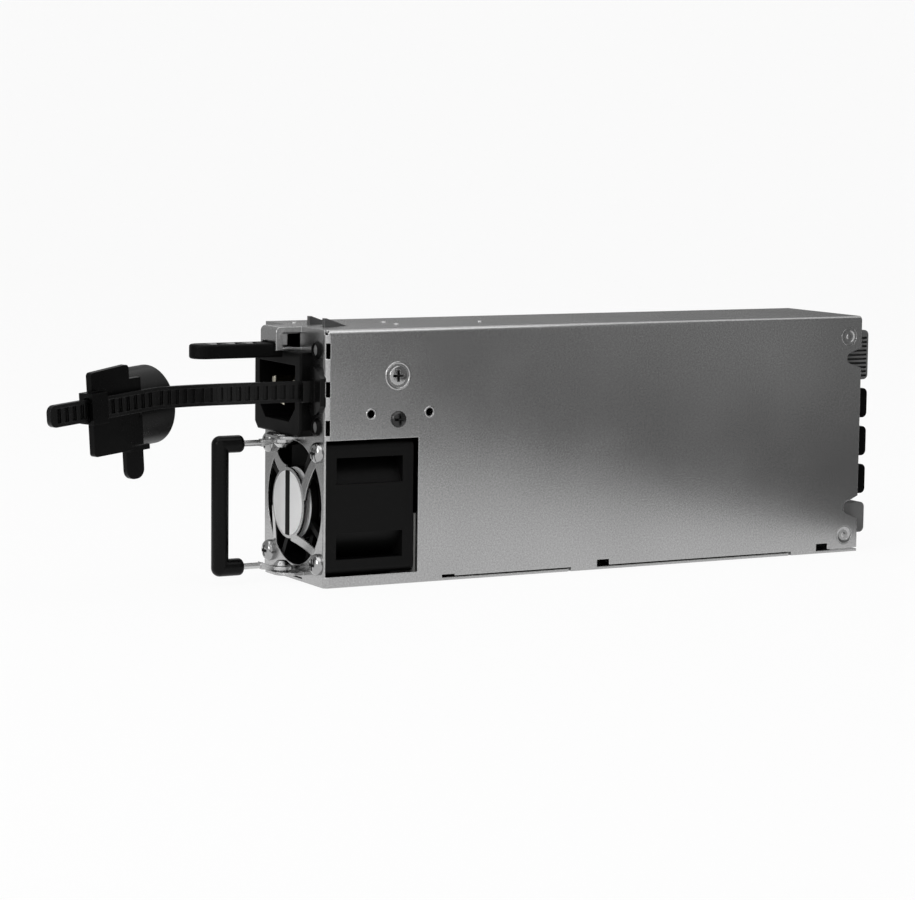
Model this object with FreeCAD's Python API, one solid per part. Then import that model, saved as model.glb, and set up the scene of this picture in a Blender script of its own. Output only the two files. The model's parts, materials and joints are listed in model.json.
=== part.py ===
import FreeCAD, Part
import math
import os

# Hot swap server power supply, built as an assembly of separate pieces.
# Millimetres.  +X is the side with the fan window, +Y runs from the front to the output connector,
# +Z is up, and the origin is the centre of the case's underside.
# Distances named *_y are measured back from the front panel's outer face unless a comment says otherwise.

# ---------------------------------------------------------------- case
case_width = 40.0
case_length = 185.0
case_height = 73.5
sheet = 0.8
bend_radius = 1.5
seam_gap = 0.4
slip_gap = 0.1

# ---------------------------------------------------------------- fan
fan_side_gap = 0.2
fan_floor_gap = 2.6
fan_depth = 28.0
fan_screw_inset = 3.0
fan_bore_wall = 0.9
fan_flange = 3.4
duct_wall = 0.8
fan_corner_radius = 2.0
fan_post = 4.4
fan_hub_radius = 10.6
fan_tip_gap = 0.5
fan_hole_radius = 2.0
fan_screw_length = 9.0
fan_base_proud = 0.2
fan_base_thickness = 1.6
blade_count = 7
blade_thickness = 1.0
blade_pitch_deg = 52.0
shaft_radius = 1.25
running_fit = 0.03
bearing_radius = 3.6
bearing_width = 3.0

# ---------------------------------------------------------------- front grille
grille_lap = 0.1
grille_disc_radius = 10.3
grille_rise = 2.0
arm_width = 2.8
label_radius = 9.4
label_thickness = 0.15
window_front = 0.5
window_rear_gap = 1.1
window_low_gap = 0.3
window_high_gap = 0.7

# ---------------------------------------------------------------- mains inlet
inlet_left = 1.0
inlet_right = 8.0
inlet_fan_gap = 1.1
inlet_head_room = 6.8
inlet_proud = 4.0
inlet_depth = 20.0
inlet_flange_lap = 1.6
socket_side_wall = 3.5
socket_end_wall = 3.85
socket_depth = 18.0
socket_chamfer = 4.0
inlet_chamfer = 2.0
pin_width = 2.0
pin_height = 4.0
pin_spacing = 14.0
flat_pin_rise = 1.9
earth_pin_drop = 2.1
pin_tip = 2.0
earth_pin_lead = 0.6
pin_tail = 5.0

# ---------------------------------------------------------------- release latch
guard_width = 10.4
guard_length = 8.0
guard_centre_x = -1.0
guard_drop = 6.7
lip_drop = 4.1
cheek_column = 2.1
cheek_bar = 0.8
leaf_thickness = 0.8
leaf_width = 15.0
leaf_gap = 0.45
leaf_bead_radius = 0.5
leaf_rear_y = 31.9
latch_rivet_y = 30.5
latch_rivet_spacing = 8.0
tooth_spacing = 10.0
tooth_thickness = 1.2
tooth_front_y = 6.5
tooth_length = 7.2
tooth_height = 2.3
tooth_centre_x = 0.0
tab_width = 8.2
tab_height = 4.1
tab_length = 26.9
tab_drop = 4.6
riser_front_y = -6.9
riser_rear_y = -5.4

# ---------------------------------------------------------------- handle
handle_x = -0.5
pivot_y = -3.6
handle_reach = 19.6
wire_radius = 0.9
wire_bend = 2.6
wire_drop = 1.3
wire_bottom = 4.6
grip_radius = 2.5
grip_arm = 7.0
ear_width = 14.0
ear_reach = 7.2
ear_corner = 4.5
ear_bottom_z = 2.0
lug_radius = 3.2
lug_thickness = 1.0
lug_gap = 0.3
neck_start = 2.6
neck_length = 4.4
neck_width = 2.4
neck_lap = 0.8
pivot_radius = 1.5
pivot_fit = 0.05
rivet_head_radius = 2.6
rivet_head = 1.2
low_head = 0.2

# ---------------------------------------------------------------- cord retainer
strap_inset = 6.5
strap_rise = 1.3
strap_height = 6.0
strap_thickness = 1.6
strap_web = 0.7
rail_height = 1.0
rung_pitch = 2.75
rung_width = 1.3
strap_bend_y = -29.9
strap_bend_radius = 60.0
strap_turn_deg = 20.0
strap_droop_deg = 4.0
strap_tail = 38.7
anchor_gap = 0.6
anchor_thickness = 1.5
anchor_neck = 3.4
push_pin_radius = 2.4
slide_gap = 0.3
channel_wall = 1.2
channel_floor = 0.6
plate_start = 8.4
plate_end = 22.2
plate_up_start = 10.4
plate_up_end = 9.6
plate_down = 13.4
plate_thickness = 2.0
web_up = 6.4
web_down = 12.2
web_lap = 1.1
channel_start = 19.5
channel_end = 25.0
ring_outer_radius = 11.1
ring_wall = 1.4
ring_start = -8.1
ring_end = 5.4
ring_drop = 3.6
tail_start = -4.8
tail_end = 1.6
tail_length = 9.8
tail_thickness = 1.6

# ---------------------------------------------------------------- side fasteners and indicators
silver_screw_y = 23.1
silver_screw_rise = 17.5
black_screw_y = 23.3
black_screw_rise = 5.0
black_head_radius = 2.4
black_head = 1.2
side_hole_y = (14.54, 33.37)
side_hole_rise = 6.8
side_hole_radius = 1.15
led_inset = 5.2
led_low_rise = 3.2
led_high_rise = 0.9
led_bezel_radius = 2.6
led_body_radius = 2.2
led_dome_radius = 1.7
bend_slot_width = 1.2
bend_slot_height = 4.4

# ---------------------------------------------------------------- boards and output connector
board_thickness = 1.6
board_gap = 3.0
board_front_y = 36.0
board_bottom = 3.0
board_head_room = 3.1
board_hole_radius = 1.6
board_screw_inset = 5.0
insulator_thickness = 0.4
part_gap = 0.9
side_clearance = 3.8
connector_inset = 2.0
connector_thickness = 12.0
connector_length = 19.0
connector_proud = 4.0
spine_length = 9.0
spine_bottom = 5.0
spine_head_room = 4.0
signal_height = 15.4
signal_head_room = 4.5
power_gap = 2.75
power_count = 3
guide_block_z = (5.6, 15.1)
block_corner = 1.6
groove_pitch = 1.3
groove_width = 0.65
groove_depth = 0.6
rear_stud_inset = 4.8
rear_stud_low_z = 5.3
rear_stud_head_room = 6.3
rear_stud_radius = 2.8
rear_notch_depth = 5.3
vent_hole_radius = 2.1
vent_pitch = 5.4

half_width = case_width / 2.0
front_y = -case_length / 2.0
rear_y = case_length / 2.0
inner_right = half_width - sheet
inner_left = -half_width + sheet
inner_top = case_height - sheet
fan_side = case_width - 2.0 * (sheet + fan_side_gap)
fan_centre_z = sheet + fan_floor_gap + fan_side / 2.0
fan_top = fan_centre_z + fan_side / 2.0
fan_pitch = fan_side - 2.0 * fan_screw_inset
fan_bore_radius = fan_side / 2.0 - fan_bore_wall
grille_radius = fan_bore_radius - grille_lap
window_rear = sheet + fan_depth + window_rear_gap
window_bottom = fan_centre_z - fan_side / 2.0 - window_low_gap
window_top = fan_top + window_high_gap
ear_top_z = fan_top
wire_top = ear_top_z - wire_drop
inlet_width = case_width - inlet_left - inlet_right
inlet_bottom = fan_top + inlet_fan_gap
inlet_top = case_height - inlet_head_room
inlet_height = inlet_top - inlet_bottom
inlet_centre_x = -half_width + inlet_left + inlet_width / 2.0
inlet_centre_z = inlet_bottom + inlet_height / 2.0
socket_width = inlet_width - 2.0 * socket_side_wall
socket_height = inlet_height - 2.0 * socket_end_wall
leaf_top = inner_top - leaf_gap
leaf_bottom = leaf_top - leaf_thickness
tab_top = case_height - tab_drop
strap_x = half_width - strap_inset
strap_z = inlet_centre_z + strap_rise
silver_screw_z = inlet_bottom + silver_screw_rise
black_screw_z = inlet_bottom + black_screw_rise
side_hole_z = inlet_bottom + side_hole_rise
led_x = half_width - led_inset
led_z = (inlet_bottom + led_low_rise, inlet_top + led_high_rise)
anchor_radius = strap_z - led_z[0] - led_bezel_radius - anchor_gap
board_near_x = inner_right - board_gap
board_far_x = board_near_x - board_thickness
board_top = case_height - board_head_room
connector_near_x = half_width - connector_inset
connector_far_x = connector_near_x - connector_thickness
connector_rear_y = case_length + connector_proud
connector_front_y = connector_rear_y - connector_length
spine_rear_y = connector_front_y + spine_length
spine_top = case_height - spine_head_room
signal_block_z = (case_height - signal_head_room - signal_height, case_height - signal_head_room)
power_room = signal_block_z[0] - guide_block_z[1]
power_height = (power_room - power_gap * (power_count + 1)) / power_count
board_rear_y = connector_front_y
rear_stud_y = case_length - rear_stud_inset
rear_stud_z = (rear_stud_low_z, case_height - rear_stud_head_room)

AXES = {
    "x": FreeCAD.Vector(1, 0, 0),
    "y": FreeCAD.Vector(0, 1, 0),
    "z": FreeCAD.Vector(0, 0, 1),
}


# ================================================================ helpers
def back(distance):
    """Y of a plane that lies this far behind the front panel's outer face."""
    return front_y + distance


def box(x0, x1, y0, y1, z0, z1):
    """Box between two opposite corners."""
    return Part.makeBox(x1 - x0, y1 - y0, z1 - z0, FreeCAD.Vector(x0, y0, z0))


def rod(axis, radius, start, end, a, b):
    """Cylinder along an axis; a and b are its two other coordinates in x, y, z order."""
    spot = {"x": (start, a, b), "y": (a, start, b), "z": (a, b, start)}[axis]
    return Part.makeCylinder(radius, end - start, FreeCAD.Vector(*spot), AXES[axis])


def cone(axis, radius0, radius1, start, end, a, b):
    """Truncated cone along an axis, placed as rod() is."""
    spot = {"x": (start, a, b), "y": (a, start, b), "z": (a, b, start)}[axis]
    return Part.makeCone(radius0, radius1, end - start, FreeCAD.Vector(*spot), AXES[axis])


def prism(points, depth):
    """Closed polygon pushed along a vector."""
    ring = Part.makePolygon([FreeCAD.Vector(*p) for p in points + points[:1]])
    return Part.Face(ring).extrude(FreeCAD.Vector(*depth))


def join(pieces):
    """One solid made from pieces that touch or overlap."""
    whole = pieces[0].fuse(pieces[1:]) if len(pieces) > 1 else pieces[0]
    return whole.removeSplitter()


def group(pieces):
    """Several separate solids kept in one node."""
    return Part.makeCompound(pieces)


def edges_along(shape, axis, test):
    """Straight edges parallel to an axis whose middle passes a test."""
    found = []
    for edge in shape.Edges:
        ends = [v.Point for v in edge.Vertexes]
        if len(ends) != 2:
            continue
        run = ends[1] - ends[0]
        if run.cross(AXES[axis]).Length < 1e-6 and test((ends[0] + ends[1]) * 0.5):
            found.append(edge)
    return found


def save(name, shape):
    """Write one node after checking that every solid in it is sound."""
    for solid in shape.Solids:
        if not solid.isValid() or solid.Volume <= 0:
            raise ValueError(name + " has a bad solid")
    shape.exportStep("parts/" + name + ".step")


# ================================================================ case sheets
def lock_stretches():
    """Where the underside's lip shows below the side wall: start, end and height of its front opening."""
    return (
        (38.0, case_length - 103.5, 0.5), (case_length - 94.6, case_length - 24.6, 1.7),
        (case_length - 15.3, case_length, 1.8),
    )


def grille_dish():
    """Sheet pressed forward into a shallow dish over the fan, flat in the middle."""
    outer = grille_radius + 0.6
    inner = grille_disc_radius + 0.4
    section = [
        (outer, 0.0), (inner, -grille_rise), (0.0, -grille_rise),
        (0.0, sheet - grille_rise), (inner, sheet - grille_rise), (outer, sheet),
    ]
    ring = Part.makePolygon([FreeCAD.Vector(r, back(y), 0) for r, y in section + section[:1]])
    dish = Part.Face(ring).revolve(FreeCAD.Vector(0, 0, 0), AXES["y"], 360)
    dish.translate(FreeCAD.Vector(0, 0, fan_centre_z))
    return dish


def grille_arm(turn_deg):
    """Cutter in the shape of one curved arm, from a screw corner to the edge of the disc."""
    corner = fan_pitch / 2.0
    top = FreeCAD.Vector(corner - 1.8, 0, corner - 0.8)
    middle = FreeCAD.Vector(corner - 4.8, 0, corner - 6.8)
    foot = FreeCAD.Vector(grille_disc_radius - 0.9, 0, arm_width * 0.7)
    path = Part.Arc(top, middle, foot).toShape().Curve
    depth = grille_rise + 2.0 * sheet
    spot = FreeCAD.Vector(path.Center.x, back(-grille_rise - sheet / 2.0), path.Center.z)
    band = Part.makeCylinder(path.Radius + arm_width / 2.0, depth, spot, AXES["y"])
    band = band.cut(Part.makeCylinder(path.Radius - arm_width / 2.0, depth, spot, AXES["y"]))
    reach = grille_radius + 1.0
    band = band.common(box(foot.x - arm_width, reach, spot.y, spot.y + depth, foot.z, reach))
    band.rotate(FreeCAD.Vector(0, 0, 0), AXES["y"], turn_deg)
    band.translate(FreeCAD.Vector(0, 0, fan_centre_z))
    return band


def grille():
    """Central disc and the four arms that hold it."""
    dish = grille_dish()
    disc = dish.common(rod("y", grille_disc_radius, back(-5), back(5), 0, fan_centre_z))
    arms = [dish.common(grille_arm(90.0 * k)) for k in range(4)]
    return [disc] + arms


def ear(z0):
    """Rounded shelf folded out of the front panel, with the hole for a handle rivet."""
    half = ear_width / 2.0
    shelf = box(handle_x - half, handle_x + half, back(-ear_reach), back(sheet), z0, z0 + sheet)
    corners = edges_along(shelf, "z", lambda p: p.y < front_y)
    shelf = shelf.makeFillet(ear_corner, corners)
    return shelf.cut(rod("z", pivot_radius, z0 - 1, z0 + sheet + 1, handle_x, back(pivot_y)))


def latch_guard():
    """Tongue of the top sheet folded down over the latch tab, with two windowed cheeks."""
    x0 = guard_centre_x - guard_width / 2.0
    x1 = guard_centre_x + guard_width / 2.0
    hood = box(x0, x1, back(-guard_length), back(sheet), case_height - guard_drop, case_height)
    hood = hood.makeFillet(bend_radius, edges_along(hood, "x", lambda p: p.y < front_y and p.z > inner_top))
    bay = box(x0 + sheet, x1 - sheet, back(-guard_length + sheet), back(sheet),
              case_height - guard_drop, inner_top)
    mouth = box(x0 + sheet, x1 - sheet, back(-guard_length), back(0),
                case_height - guard_drop, case_height - lip_drop)
    side = box(
        x0, x1, back(-guard_length + cheek_column), back(0),
        case_height - guard_drop + cheek_bar, inner_top - sheet,
    )
    return hood.cut([bay, mouth, side])


def side_wall_cuts():
    """Openings in the side wall: fan window, lock openings, bend slots, rear notches and holes."""
    x0, x1 = inner_right - 2.0, half_width + 1.0
    cuts = [box(x0, x1, back(window_front), back(window_rear), window_bottom, window_top)]
    for start, end, opening in lock_stretches():
        cuts.append(box(inner_right, x1, back(start), back(end), -1.0, sheet + seam_gap))
        cuts.append(box(x0, x1, back(start), back(start) + 4.2, -1.0, sheet + seam_gap + opening))
    for middle in (led_z[0], strap_z + 0.8, led_z[1]):
        cuts.append(box(inner_right - 0.6, x1, back(0.4), back(0.4 + bend_slot_width),
                        middle - bend_slot_height / 2.0, middle + bend_slot_height / 2.0))
    tip = case_length - rear_notch_depth
    upper_notch = (signal_block_z[0] + 3.5, signal_block_z[1] - 5.0)
    lower_notch = (guide_block_z[0] + 4.2, guide_block_z[1] + 2.8)
    for low, high in (upper_notch, lower_notch):
        middle = (low + high) / 2.0
        radius = (high - low) * 0.27
        cuts.append(rod("x", radius, x0, x1, back(tip + radius), middle))
        flare = [
            (x0, back(tip + radius), middle - radius), (x0, back(case_length + 1), low),
            (x0, back(case_length + 1), high), (x0, back(tip + radius), middle + radius),
        ]
        cuts.append(prism(flare, (x1 - x0, 0, 0)))
    for y in side_hole_y:
        cuts.append(rod("x", side_hole_radius, x0 - 2, x1, back(y), side_hole_z))
    for z in rear_stud_z:
        cuts.append(rod("x", rear_stud_radius, x0, x1, back(rear_stud_y), z))
    cuts.append(cone("x", 1.3, 2.6, inner_right, half_width, back(silver_screw_y), silver_screw_z))
    cuts.append(rod("x", 1.3, x0, x1, back(black_screw_y), black_screw_z))
    return cuts


def front_wall_cuts():
    """Openings in the front panel: fan, inlet, indicators, strap anchor, latch and fan screws."""
    y0, y1 = back(-1.0), back(sheet + 1.0)
    cuts = [rod("y", grille_radius, y0, y1, 0, fan_centre_z)]
    for sx in (-1, 1):
        for sz in (-1, 1):
            x, z = sx * fan_pitch / 2.0, fan_centre_z + sz * fan_pitch / 2.0
            cuts.append(rod("y", fan_hole_radius, y0, y1, x, z))
    lap = inlet_flange_lap
    left = inlet_centre_x - inlet_width / 2.0
    cuts.append(box(left + lap, left + inlet_width - lap, y0, y1, inlet_bottom + lap, inlet_top - lap))
    for z in led_z:
        cuts.append(rod("y", led_body_radius, y0, y1, led_x, z))
    cuts.append(rod("y", push_pin_radius, y0, y1, strap_x + 2.0, strap_z))
    inner = guard_width / 2.0 - sheet
    cuts.append(box(guard_centre_x - inner, guard_centre_x + inner, y0, y1, inlet_top + 0.5, inner_top))
    cuts.append(box(handle_x - 6.0, handle_x + 6.0, y0, y1, sheet, sheet + seam_gap))
    return cuts


def top_wall_cuts():
    """Slots for the latch teeth and holes for the latch rivets."""
    cuts = []
    for sx in (-1, 1):
        tooth = tooth_centre_x + sx * tooth_spacing / 2.0
        half = tooth_thickness / 2.0 + slide_gap
        cuts.append(box(
            tooth - half, tooth + half, back(tooth_front_y - 1.0), back(tooth_front_y + tooth_length + 0.6),
            inner_top - 1, case_height + 1,
        ))
        rivet = sx * latch_rivet_spacing / 2.0
        cuts.append(rod("z", 1.0, inner_top - 1, case_height + 1, rivet, back(latch_rivet_y)))
    return cuts


def case_shell():
    """Side wall, top and front panel, folded from one sheet."""
    outer = box(-half_width, half_width, front_y, rear_y, 0, case_height)
    bends = edges_along(outer, "y", lambda p: p.x > 0 and p.z > 1)
    bends += edges_along(outer, "z", lambda p: p.x > 0 and p.y < 0)
    outer = outer.makeFillet(bend_radius, bends)
    hollow = box(-case_width, inner_right, back(sheet), rear_y + 5, -5, inner_top)
    inside = edges_along(hollow, "y", lambda p: p.x > 0 and p.z > 1)
    inside += edges_along(hollow, "z", lambda p: p.x > 0 and p.y < 0)
    hollow = hollow.makeFillet(bend_radius - sheet, inside)
    shell = outer.cut(hollow)
    relief = rod("z", 0.6, inner_top - 0.6, case_height + 1, inner_right, back(sheet))
    shell = shell.cut(side_wall_cuts() + front_wall_cuts() + top_wall_cuts() + [relief])
    collars = []
    for y in side_hole_y:
        collar = rod("x", side_hole_radius + 0.5, inner_right - 1.2, inner_right, back(y), side_hole_z)
        hole = rod("x", side_hole_radius, inner_right - 2, inner_right + 1, back(y), side_hole_z)
        collars.append(collar.cut(hole))
    return join([shell, ear(ear_top_z), ear(ear_bottom_z), latch_guard()] + grille() + collars)


def case_cover():
    """Far side wall, underside and vented rear wall, folded from a second sheet."""
    outer = box(-half_width, half_width, back(sheet), rear_y, 0, inner_top)
    bends = edges_along(outer, "y", lambda p: p.x < 0 and p.z < 1)
    bends += edges_along(outer, "z", lambda p: p.x < 0 and p.y > 0)
    outer = outer.makeFillet(bend_radius, bends)
    hollow = box(inner_left, case_width, back(-5), rear_y - sheet, sheet, case_height)
    inside = edges_along(hollow, "y", lambda p: p.x < 0 and p.z < 1)
    inside += edges_along(hollow, "z", lambda p: p.x < 0 and p.y > 0)
    hollow = hollow.makeFillet(bend_radius - sheet, inside)
    cover = outer.cut(hollow)
    rear_gap = box(connector_far_x, case_width, rear_y - 2, rear_y + 1, sheet, case_height)
    cuts = [rear_gap]
    edge = 0.0
    for start, end, opening in lock_stretches():
        cuts.append(box(inner_right - slip_gap, case_width, back(edge) - 1, back(start), -1, 2))
        edge = end
    cover = cover.cut(cuts)
    return cover.cut(vents())


def vents():
    """Hexagonal air holes of the rear wall, in staggered rows."""
    holes = []
    columns = int((connector_far_x + half_width - vent_pitch) / vent_pitch)
    rise = vent_pitch * math.sqrt(3.0) / 2.0
    rows = int((case_height - 2.0 * vent_pitch) / rise)
    for row in range(rows):
        shift = vent_pitch / 2.0 if row % 2 else 0.0
        for column in range(columns):
            x = -half_width + vent_pitch * (0.9 + column) + shift
            z = vent_pitch + row * rise
            points = []
            for k in range(6):
                turn = math.radians(60.0 * k + 30.0)
                points.append((
                    x + vent_hole_radius * math.cos(turn), rear_y - 2.0, z + vent_hole_radius * math.sin(turn),
                ))
            holes.append(prism(points, (0, 4.0, 0)))
    return holes


# ================================================================ fan
def fan_screw_spots():
    """X and Z of the four fan screws."""
    half = fan_pitch / 2.0
    return [(sx * half, fan_centre_z + sz * half) for sx in (-1, 1) for sz in (-1, 1)]


def fan_frame():
    """Square frame with a round duct, four corner posts and the motor's front plate on struts."""
    half = fan_side / 2.0
    y0, y1 = back(sheet), back(sheet + fan_depth)
    frame = box(-half, half, y0, y1, fan_centre_z - half, fan_centre_z + half)
    frame = frame.makeFillet(fan_corner_radius, edges_along(frame, "y", lambda p: True))
    frame = frame.cut(rod("y", fan_bore_radius, y0 - 1, y1 + 1, 0, fan_centre_z))
    duct = rod("y", fan_bore_radius + duct_wall, y0, y1, 0, fan_centre_z)
    a, b = y0 + fan_flange, y1 - fan_flange
    inner_edge = half - fan_post
    pockets = []
    for s in (-1, 1):
        for t in (-1, 1):
            across = sorted((t * inner_edge, t * 7.0))
            deep = sorted((s * (half + 1), s * (half - 8.0)))
            pockets.append(box(deep[0], deep[1], a, b, fan_centre_z + across[0], fan_centre_z + across[1]))
            pockets.append(box(across[0], across[1], a, b, fan_centre_z + deep[0], fan_centre_z + deep[1]))
    frame = frame.cut([pocket.cut(duct) for pocket in pockets])
    for x, z in fan_screw_spots():
        frame = frame.cut(rod("y", fan_hole_radius - 0.35, y0 - 1, y1 + 1, x, z))
    struts = []
    plate_front = y0 - fan_base_proud
    for k in range(4):
        strut = box(0, fan_bore_radius + 0.3, y0, y0 + 1.4, fan_centre_z - 0.9, fan_centre_z + 0.9)
        strut.rotate(FreeCAD.Vector(0, 0, fan_centre_z), AXES["y"], 90.0 * k + 30.0)
        struts.append(strut)
    plate = rod("y", fan_hub_radius, plate_front, y0 + fan_base_thickness, 0, fan_centre_z)
    boss = rod("y", bearing_radius + 1.0, y0, y0 + 14.0, 0, fan_centre_z)
    bore = rod("y", bearing_radius, y0 + fan_base_thickness, y0 + 15.0, 0, fan_centre_z)
    return join([frame, plate, boss] + struts).cut(bore)


def fan_bearings():
    """Two ball bearings, shown as rings, at the ends of the motor's bearing tube."""
    rings = []
    for start in (fan_base_thickness + 0.6, 14.0 - bearing_width):
        y0 = back(sheet + start)
        ring = rod("y", bearing_radius, y0, y0 + bearing_width, 0, fan_centre_z)
        bore = rod("y", shaft_radius + running_fit, y0 - 1, y0 + bearing_width + 1, 0, fan_centre_z)
        rings.append(ring.cut(bore))
    return group(rings)


def fan_stator():
    """Laminated four-pole stator pressed on the bearing tube."""
    y0, y1 = back(sheet + 4.0), back(sheet + 12.0)
    core = rod("y", 6.2, y0, y1, 0, fan_centre_z)
    poles = [core]
    for k in range(4):
        arm = box(-1.6, 1.6, y0, y1, fan_centre_z, fan_centre_z + 8.2)
        shoe = rod("y", 8.2, y0, y1, 0, fan_centre_z).common(
            box(-4.4, 4.4, y0, y1, fan_centre_z + 6.8, fan_centre_z + 9.0))
        for piece in (arm, shoe):
            piece.rotate(FreeCAD.Vector(0, 0, fan_centre_z), AXES["y"], 90.0 * k)
            poles.append(piece)
    tube = rod("y", bearing_radius + 1.0, y0 - 1, y1 + 1, 0, fan_centre_z)
    return join(poles).cut(tube)


def fan_rotor():
    """Hub cup with pitched blades."""
    y0, y1 = back(sheet + 2.2), back(sheet + fan_depth - 3.0)
    cup = rod("y", fan_hub_radius, y0, y1, 0, fan_centre_z)
    cup = cup.cut(rod("y", fan_hub_radius - 1.0, y0 - 1, back(sheet + 15.0), 0, fan_centre_z))
    cup = cup.cut(rod("y", shaft_radius, y0, y1 - 2.0, 0, fan_centre_z))
    tip = fan_bore_radius - fan_tip_gap
    ring = rod("y", tip, y0, y1, 0, fan_centre_z).cut(rod("y", fan_hub_radius - 0.5, y0, y1, 0, fan_centre_z))
    middle = (y0 + y1) / 2.0
    blades = []
    for k in range(blade_count):
        blade = box(-14.0, 14.0, middle - blade_thickness / 2.0, middle + blade_thickness / 2.0, 0, tip + 1)
        blade.rotate(FreeCAD.Vector(0, middle, 0), AXES["z"], blade_pitch_deg)
        blade.translate(FreeCAD.Vector(0, 0, fan_centre_z))
        blade.rotate(FreeCAD.Vector(0, 0, fan_centre_z), AXES["y"], 360.0 / blade_count * k)
        blades.append(blade.common(ring))
    return join([cup] + blades)


def fan_shaft():
    """Steel shaft pressed in the hub and running in the bearings."""
    near = back(sheet + fan_base_thickness + 0.4)
    return rod("y", shaft_radius, near, back(sheet + fan_depth - 5.0), 0, fan_centre_z)


def rotor_magnet():
    """Ring magnet inside the hub cup."""
    y0, y1 = back(sheet + 4.0), back(sheet + 12.0)
    ring = rod("y", fan_hub_radius - 1.0, y0, y1, 0, fan_centre_z)
    return ring.cut(rod("y", fan_hub_radius - 2.0, y0, y1, 0, fan_centre_z))


def hub_sticker():
    """Round sticker on the motor's front plate."""
    face = back(sheet) - fan_base_proud
    return rod("y", fan_hub_radius - 0.3, face - label_thickness, face, 0, fan_centre_z)


def grille_label():
    """Round label on the grille's central disc."""
    face = back(-grille_rise)
    return rod("y", label_radius, face - label_thickness, face, 0, fan_centre_z)


def pan_head(face_y, x, z, radius, height):
    """Pan head that faces forward, sloped at its rim."""
    lip = height * 0.45
    base = rod("y", radius, face_y - height + lip, face_y, x, z)
    crown = cone("y", radius - lip, radius, face_y - height, face_y - height + lip, x, z)
    return join([base, crown])


def fan_screws():
    """Four self-tapping screws through the front panel into the fan's posts."""
    screws = []
    for x, z in fan_screw_spots():
        shank = rod("y", fan_hole_radius - 0.35, front_y, back(fan_screw_length), x, z)
        screws.append(join([pan_head(front_y, x, z, 3.1, 2.2), shank]))
    return group(screws)


def air_baffle():
    """Thin sheet behind the fan that turns the air past the inlet's wiring."""
    y0 = back(sheet + fan_depth + 0.3)
    return box(inner_left + 0.2, inner_right - 0.2, y0, y0 + 0.6, sheet, 20.0)


# ================================================================ mains inlet
def socket_outline(width, height, chamfer, y):
    """Rectangle with its two lower corners cut off, centred on the socket."""
    x0, x1 = inlet_centre_x - width / 2.0, inlet_centre_x + width / 2.0
    z0, z1 = inlet_centre_z - height / 2.0, inlet_centre_z + height / 2.0
    return [
        (x0 + chamfer, y, z0), (x1 - chamfer, y, z0), (x1, y, z0 + chamfer),
        (x1, y, z1), (x0, y, z1), (x0, y, z0 + chamfer),
    ]


def inlet_body():
    """Black moulded inlet with its square bezel and the deep socket for the mains plug."""
    x0 = inlet_centre_x - inlet_width / 2.0
    x1 = x0 + inlet_width
    c = inlet_chamfer
    bezel = prism(
        [(x0 + c, front_y, inlet_bottom), (x1 - c, front_y, inlet_bottom), (x1, front_y, inlet_bottom + c),
         (x1, front_y, inlet_top), (x0, front_y, inlet_top), (x0, front_y, inlet_bottom + c)],
        (0, -inlet_proud, 0))
    rim = [e for e in bezel.Edges if abs(e.CenterOfMass.y - back(-inlet_proud)) < 1e-6]
    bezel = bezel.makeFillet(0.6, rim)
    lap = inlet_flange_lap + slip_gap
    rear = box(x0 + lap, x1 - lap, front_y, back(inlet_depth), inlet_bottom + lap, inlet_top - lap)
    body = join([bezel, rear])
    mouth = socket_outline(socket_width, socket_height, socket_chamfer, back(-inlet_proud))
    socket = prism(mouth, (0, socket_depth, 0))
    body = body.cut(socket)
    for x, z, tip in pin_spots():
        body = body.cut(pin(x, z, tip))
    return body


def pin_spots():
    """X, Z and tip depth of the three pins; the earth pin is the lower, longer one."""
    flat_z = inlet_centre_z + flat_pin_rise
    return (
        (inlet_centre_x - pin_spacing / 2.0, flat_z, -pin_tip),
        (inlet_centre_x + pin_spacing / 2.0, flat_z, -pin_tip),
        (inlet_centre_x, inlet_centre_z - earth_pin_drop, -pin_tip - earth_pin_lead),
    )


def pin(x, z, tip):
    """Flat pin with a bevelled tip, running out behind the inlet as a solder tag."""
    blade = box(x - pin_width / 2.0, x + pin_width / 2.0, back(tip), back(inlet_depth + pin_tail),
                z - pin_height / 2.0, z + pin_height / 2.0)
    rim = [e for e in blade.Edges if abs(e.CenterOfMass.y - back(tip)) < 1e-6]
    return blade.makeChamfer(0.4, rim)


def inlet_pins():
    """Line, neutral and earth pins."""
    return group([pin(x, z, tip) for x, z, tip in pin_spots()])


def inlet_bracket():
    """Steel angle behind the inlet that takes the two side screws."""
    x0 = inlet_centre_x + inlet_width / 2.0 - 0.8
    low, high = black_screw_z - 4.0, silver_screw_z + 4.0
    plate = box(inner_right - 2.6, inner_right, back(18.6), back(28.0), low, high)
    web = box(x0, inner_right, back(26.8), back(28.0), low, high)
    angle = join([plate, web])
    for y, z in ((silver_screw_y, silver_screw_z), (black_screw_y, black_screw_z)):
        angle = angle.cut(rod("x", 1.3, inner_right - 5, half_width, back(y), z))
    return angle


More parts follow.
